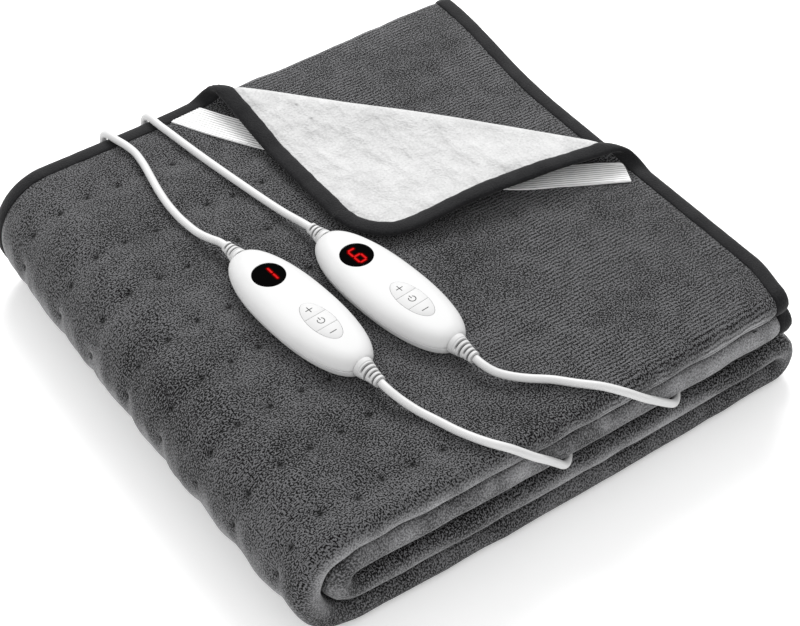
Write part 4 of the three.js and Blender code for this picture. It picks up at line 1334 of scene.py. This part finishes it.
# The moulded entries where the control leads join the cloth's bound edge
ENTRY_WIDTH = 0.018
ENTRY_LENGTH = 0.011
ENTRY_HEIGHT = 0.0084
ENTRY_EDGE = 0.0016
ENTRY_TOP = 0.0525
ENTRY_Y = 0.2074
STUB_ROOT = 0.0039
STUB_TIP = 0.0034
STUB_LENGTH = 0.018


def rounded_block(low, high, radius):
    block = bmesh.new()
    bmesh.ops.create_cube(block, size=1)
    low, high = np.array(low), np.array(high)
    for v in block.verts:
        v.co = Vector((high + low) / 2 + np.array(v.co) * (high - low))
    bmesh.ops.bevel(block, geom=block.edges[:], offset=radius, segments=3, profile=0.5, affect="EDGES")
    block.verts.index_update()
    places = [tuple(v.co) for v in block.verts]
    faces = [tuple(v.index for v in f.verts) for f in block.faces]
    block.free()
    return places, faces


for number, x in zip(SIDES, ENTRY_X):
    near = BOUND_Y + BINDING_OUT + CLEAR
    block = rounded_block(
        (x - ENTRY_WIDTH / 2, near, ENTRY_TOP - ENTRY_HEIGHT),
        (x + ENTRY_WIDTH / 2, near + ENTRY_LENGTH, ENTRY_TOP), ENTRY_EDGE,
    )
    start, reach = ENTRY_TOP - CORD / 2, STUB_LENGTH + CORD / 2
    stub = loft([
        ring + (x, ENTRY_Y, start + reach * t)
        for t, ring in grooved(STUB_ROOT, STUB_TIP, depth=0.0006, first=0.12, soft=0.1, rows=60)
    ])
    nodes = [f"lead_entry_{number}"]
    shape = joined((block, stub))
    add_piece(f"cord_entry_{number}", shape, SOFT_PLASTIC, nodes, crease=50)


# The plugs, each with its flat body, its own strain relief and two round pins
PLUG_WIDTH = 0.035
PLUG_LENGTH = 0.034
PLUG_NECK = PLUG_WIDTH / 6
PLUG_POWER = 4
PLUG_ROWS = 24
PLUG_PARTS = 40
PLUG_RELIEF = 0.022
PLUG_SUNK = 0.003
PIN_SPACING = 0.019
PIN_RADIUS = 0.002
PIN_LENGTH = 0.019

# A pin's width along its length, both as parts of the whole
PIN_SHAPE = ((0, 1.0), (0.55, 1.0), (0.92, 1.0), (0.98, 0.85), (1.0, 0.5))


def add_plug(number, coil_x):
    end = coil_points(coil_x)[-1]
    reach = PLUG_RELIEF + 2 * CLEAR
    middle = (end[0] + reach * cos(TAIL_END), end[1] + reach * sin(TAIL_END), COIL_FLOOR + PLUG_LEVEL)
    at = Matrix.Translation(middle) @ Matrix.Rotation(TAIL_END, 4, "Z")
    turn = 2 * pi * np.arange(PLUG_PARTS) / PLUG_PARTS
    side, up = full_oval(turn, PLUG_POWER)
    rows = []
    for t in np.linspace(0, 1, PLUG_ROWS + 1):
        # The neck, then a shoulder, then the full width to the face
        wide = PLUG_NECK + (PLUG_WIDTH / 2 - PLUG_NECK) * ease(t, -0.05, 0.42)
        pull = 1.0 if 0 < t < 1 else 0.93
        x = np.full(PLUG_PARTS, t * PLUG_LENGTH)
        rows.append(np.stack((x, wide * pull * side, PLUG_HEIGHT / 2 * pull * up), axis=1))
    boot = []
    for t, ring in grooved(CORD / 1.5, PLUG_NECK - CLEAR, depth=0.0009, first=0.1, soft=0.12, rows=66):
        x = np.full(len(ring), -PLUG_RELIEF * (1 - t) + PLUG_SUNK * t)
        boot.append(np.stack((x, ring[:, 0], ring[:, 1]), axis=1))
    shape = joined((loft(rows), loft(boot)))
    nodes = [f"plug_{number}_body"]
    pieces = [add_piece(f"plug_{number}", shape, SOFT_PLASTIC, nodes, at, crease=50)]
    for index, way in ((1, -1), (2, 1)):
        rows = []
        for t, scale in PIN_SHAPE:
            ring = circle(PIN_RADIUS * scale, 0, parts=24)
            x = np.full(len(ring), PLUG_LENGTH + CLEAR + PIN_LENGTH * t)
            rows.append(np.stack((x, ring[:, 0] + way * PIN_SPACING / 2, ring[:, 1]), axis=1))
        nodes = [f"plug_{number}_pin_{index}"]
        pin = add_piece(f"plug_{number}_prong_{index}", loft(rows), PIN_METAL, nodes, at)
        pieces.append(pin)
    return pieces


plugs = [add_plug(side, lead[-1][0] + COIL_FROM_EXIT) for side, lead in zip(SIDES, MAINS_LEADS)]


# A pale floor, a pale surrounding and soft studio lights
FLOOR_HALF = 6.0
SURROUNDING = 0.82
LIGHTS_AIM = Vector((0, 0, 0.05))


def floor_finish():
    finish = Finish("pale_floor")
    cloud = finish.noise(finish.own_place(), 0.4)
    colour = finish.blend(cloud, grey(0.93), grey(0.95))
    return finish.surface(base_color=colour, roughness=0.9, emission_color=grey(1), emission_strength=0.24)


corners = [(x * FLOOR_HALF, y * FLOOR_HALF, 0) for x, y in ((-1, -1), (1, -1), (1, 1), (-1, 1))]
floor = add_object("floor", new_mesh("floor", (corners, [(0, 1, 2, 3)])))
floor.data.materials.append(floor_finish())

world = bpy.data.worlds.new("studio")
world.use_nodes = True
surrounding = world.node_tree.nodes["Background"]
surrounding.inputs["Color"].default_value = (1, 1, 1, 1)
surrounding.inputs["Strength"].default_value = SURROUNDING
bpy.context.scene.world = world


def add_light(name, place, size, power):
    light = bpy.data.lights.new(name, "AREA")
    light.shape = "RECTANGLE"
    light.size, light.size_y = size
    light.energy = power
    lamp = add_object(name, light)
    lamp.location = place
    lamp.rotation_euler = (LIGHTS_AIM - Vector(place)).to_track_quat("-Z", "Y").to_euler()


add_light("key", (0.9, 1.3, 1.6), (1.3, 1.0), 44)
add_light("fill", (-1.5, -0.6, 1.3), (1.4, 1.4), 7)
bpy.context.scene.view_settings.view_transform = "Standard"
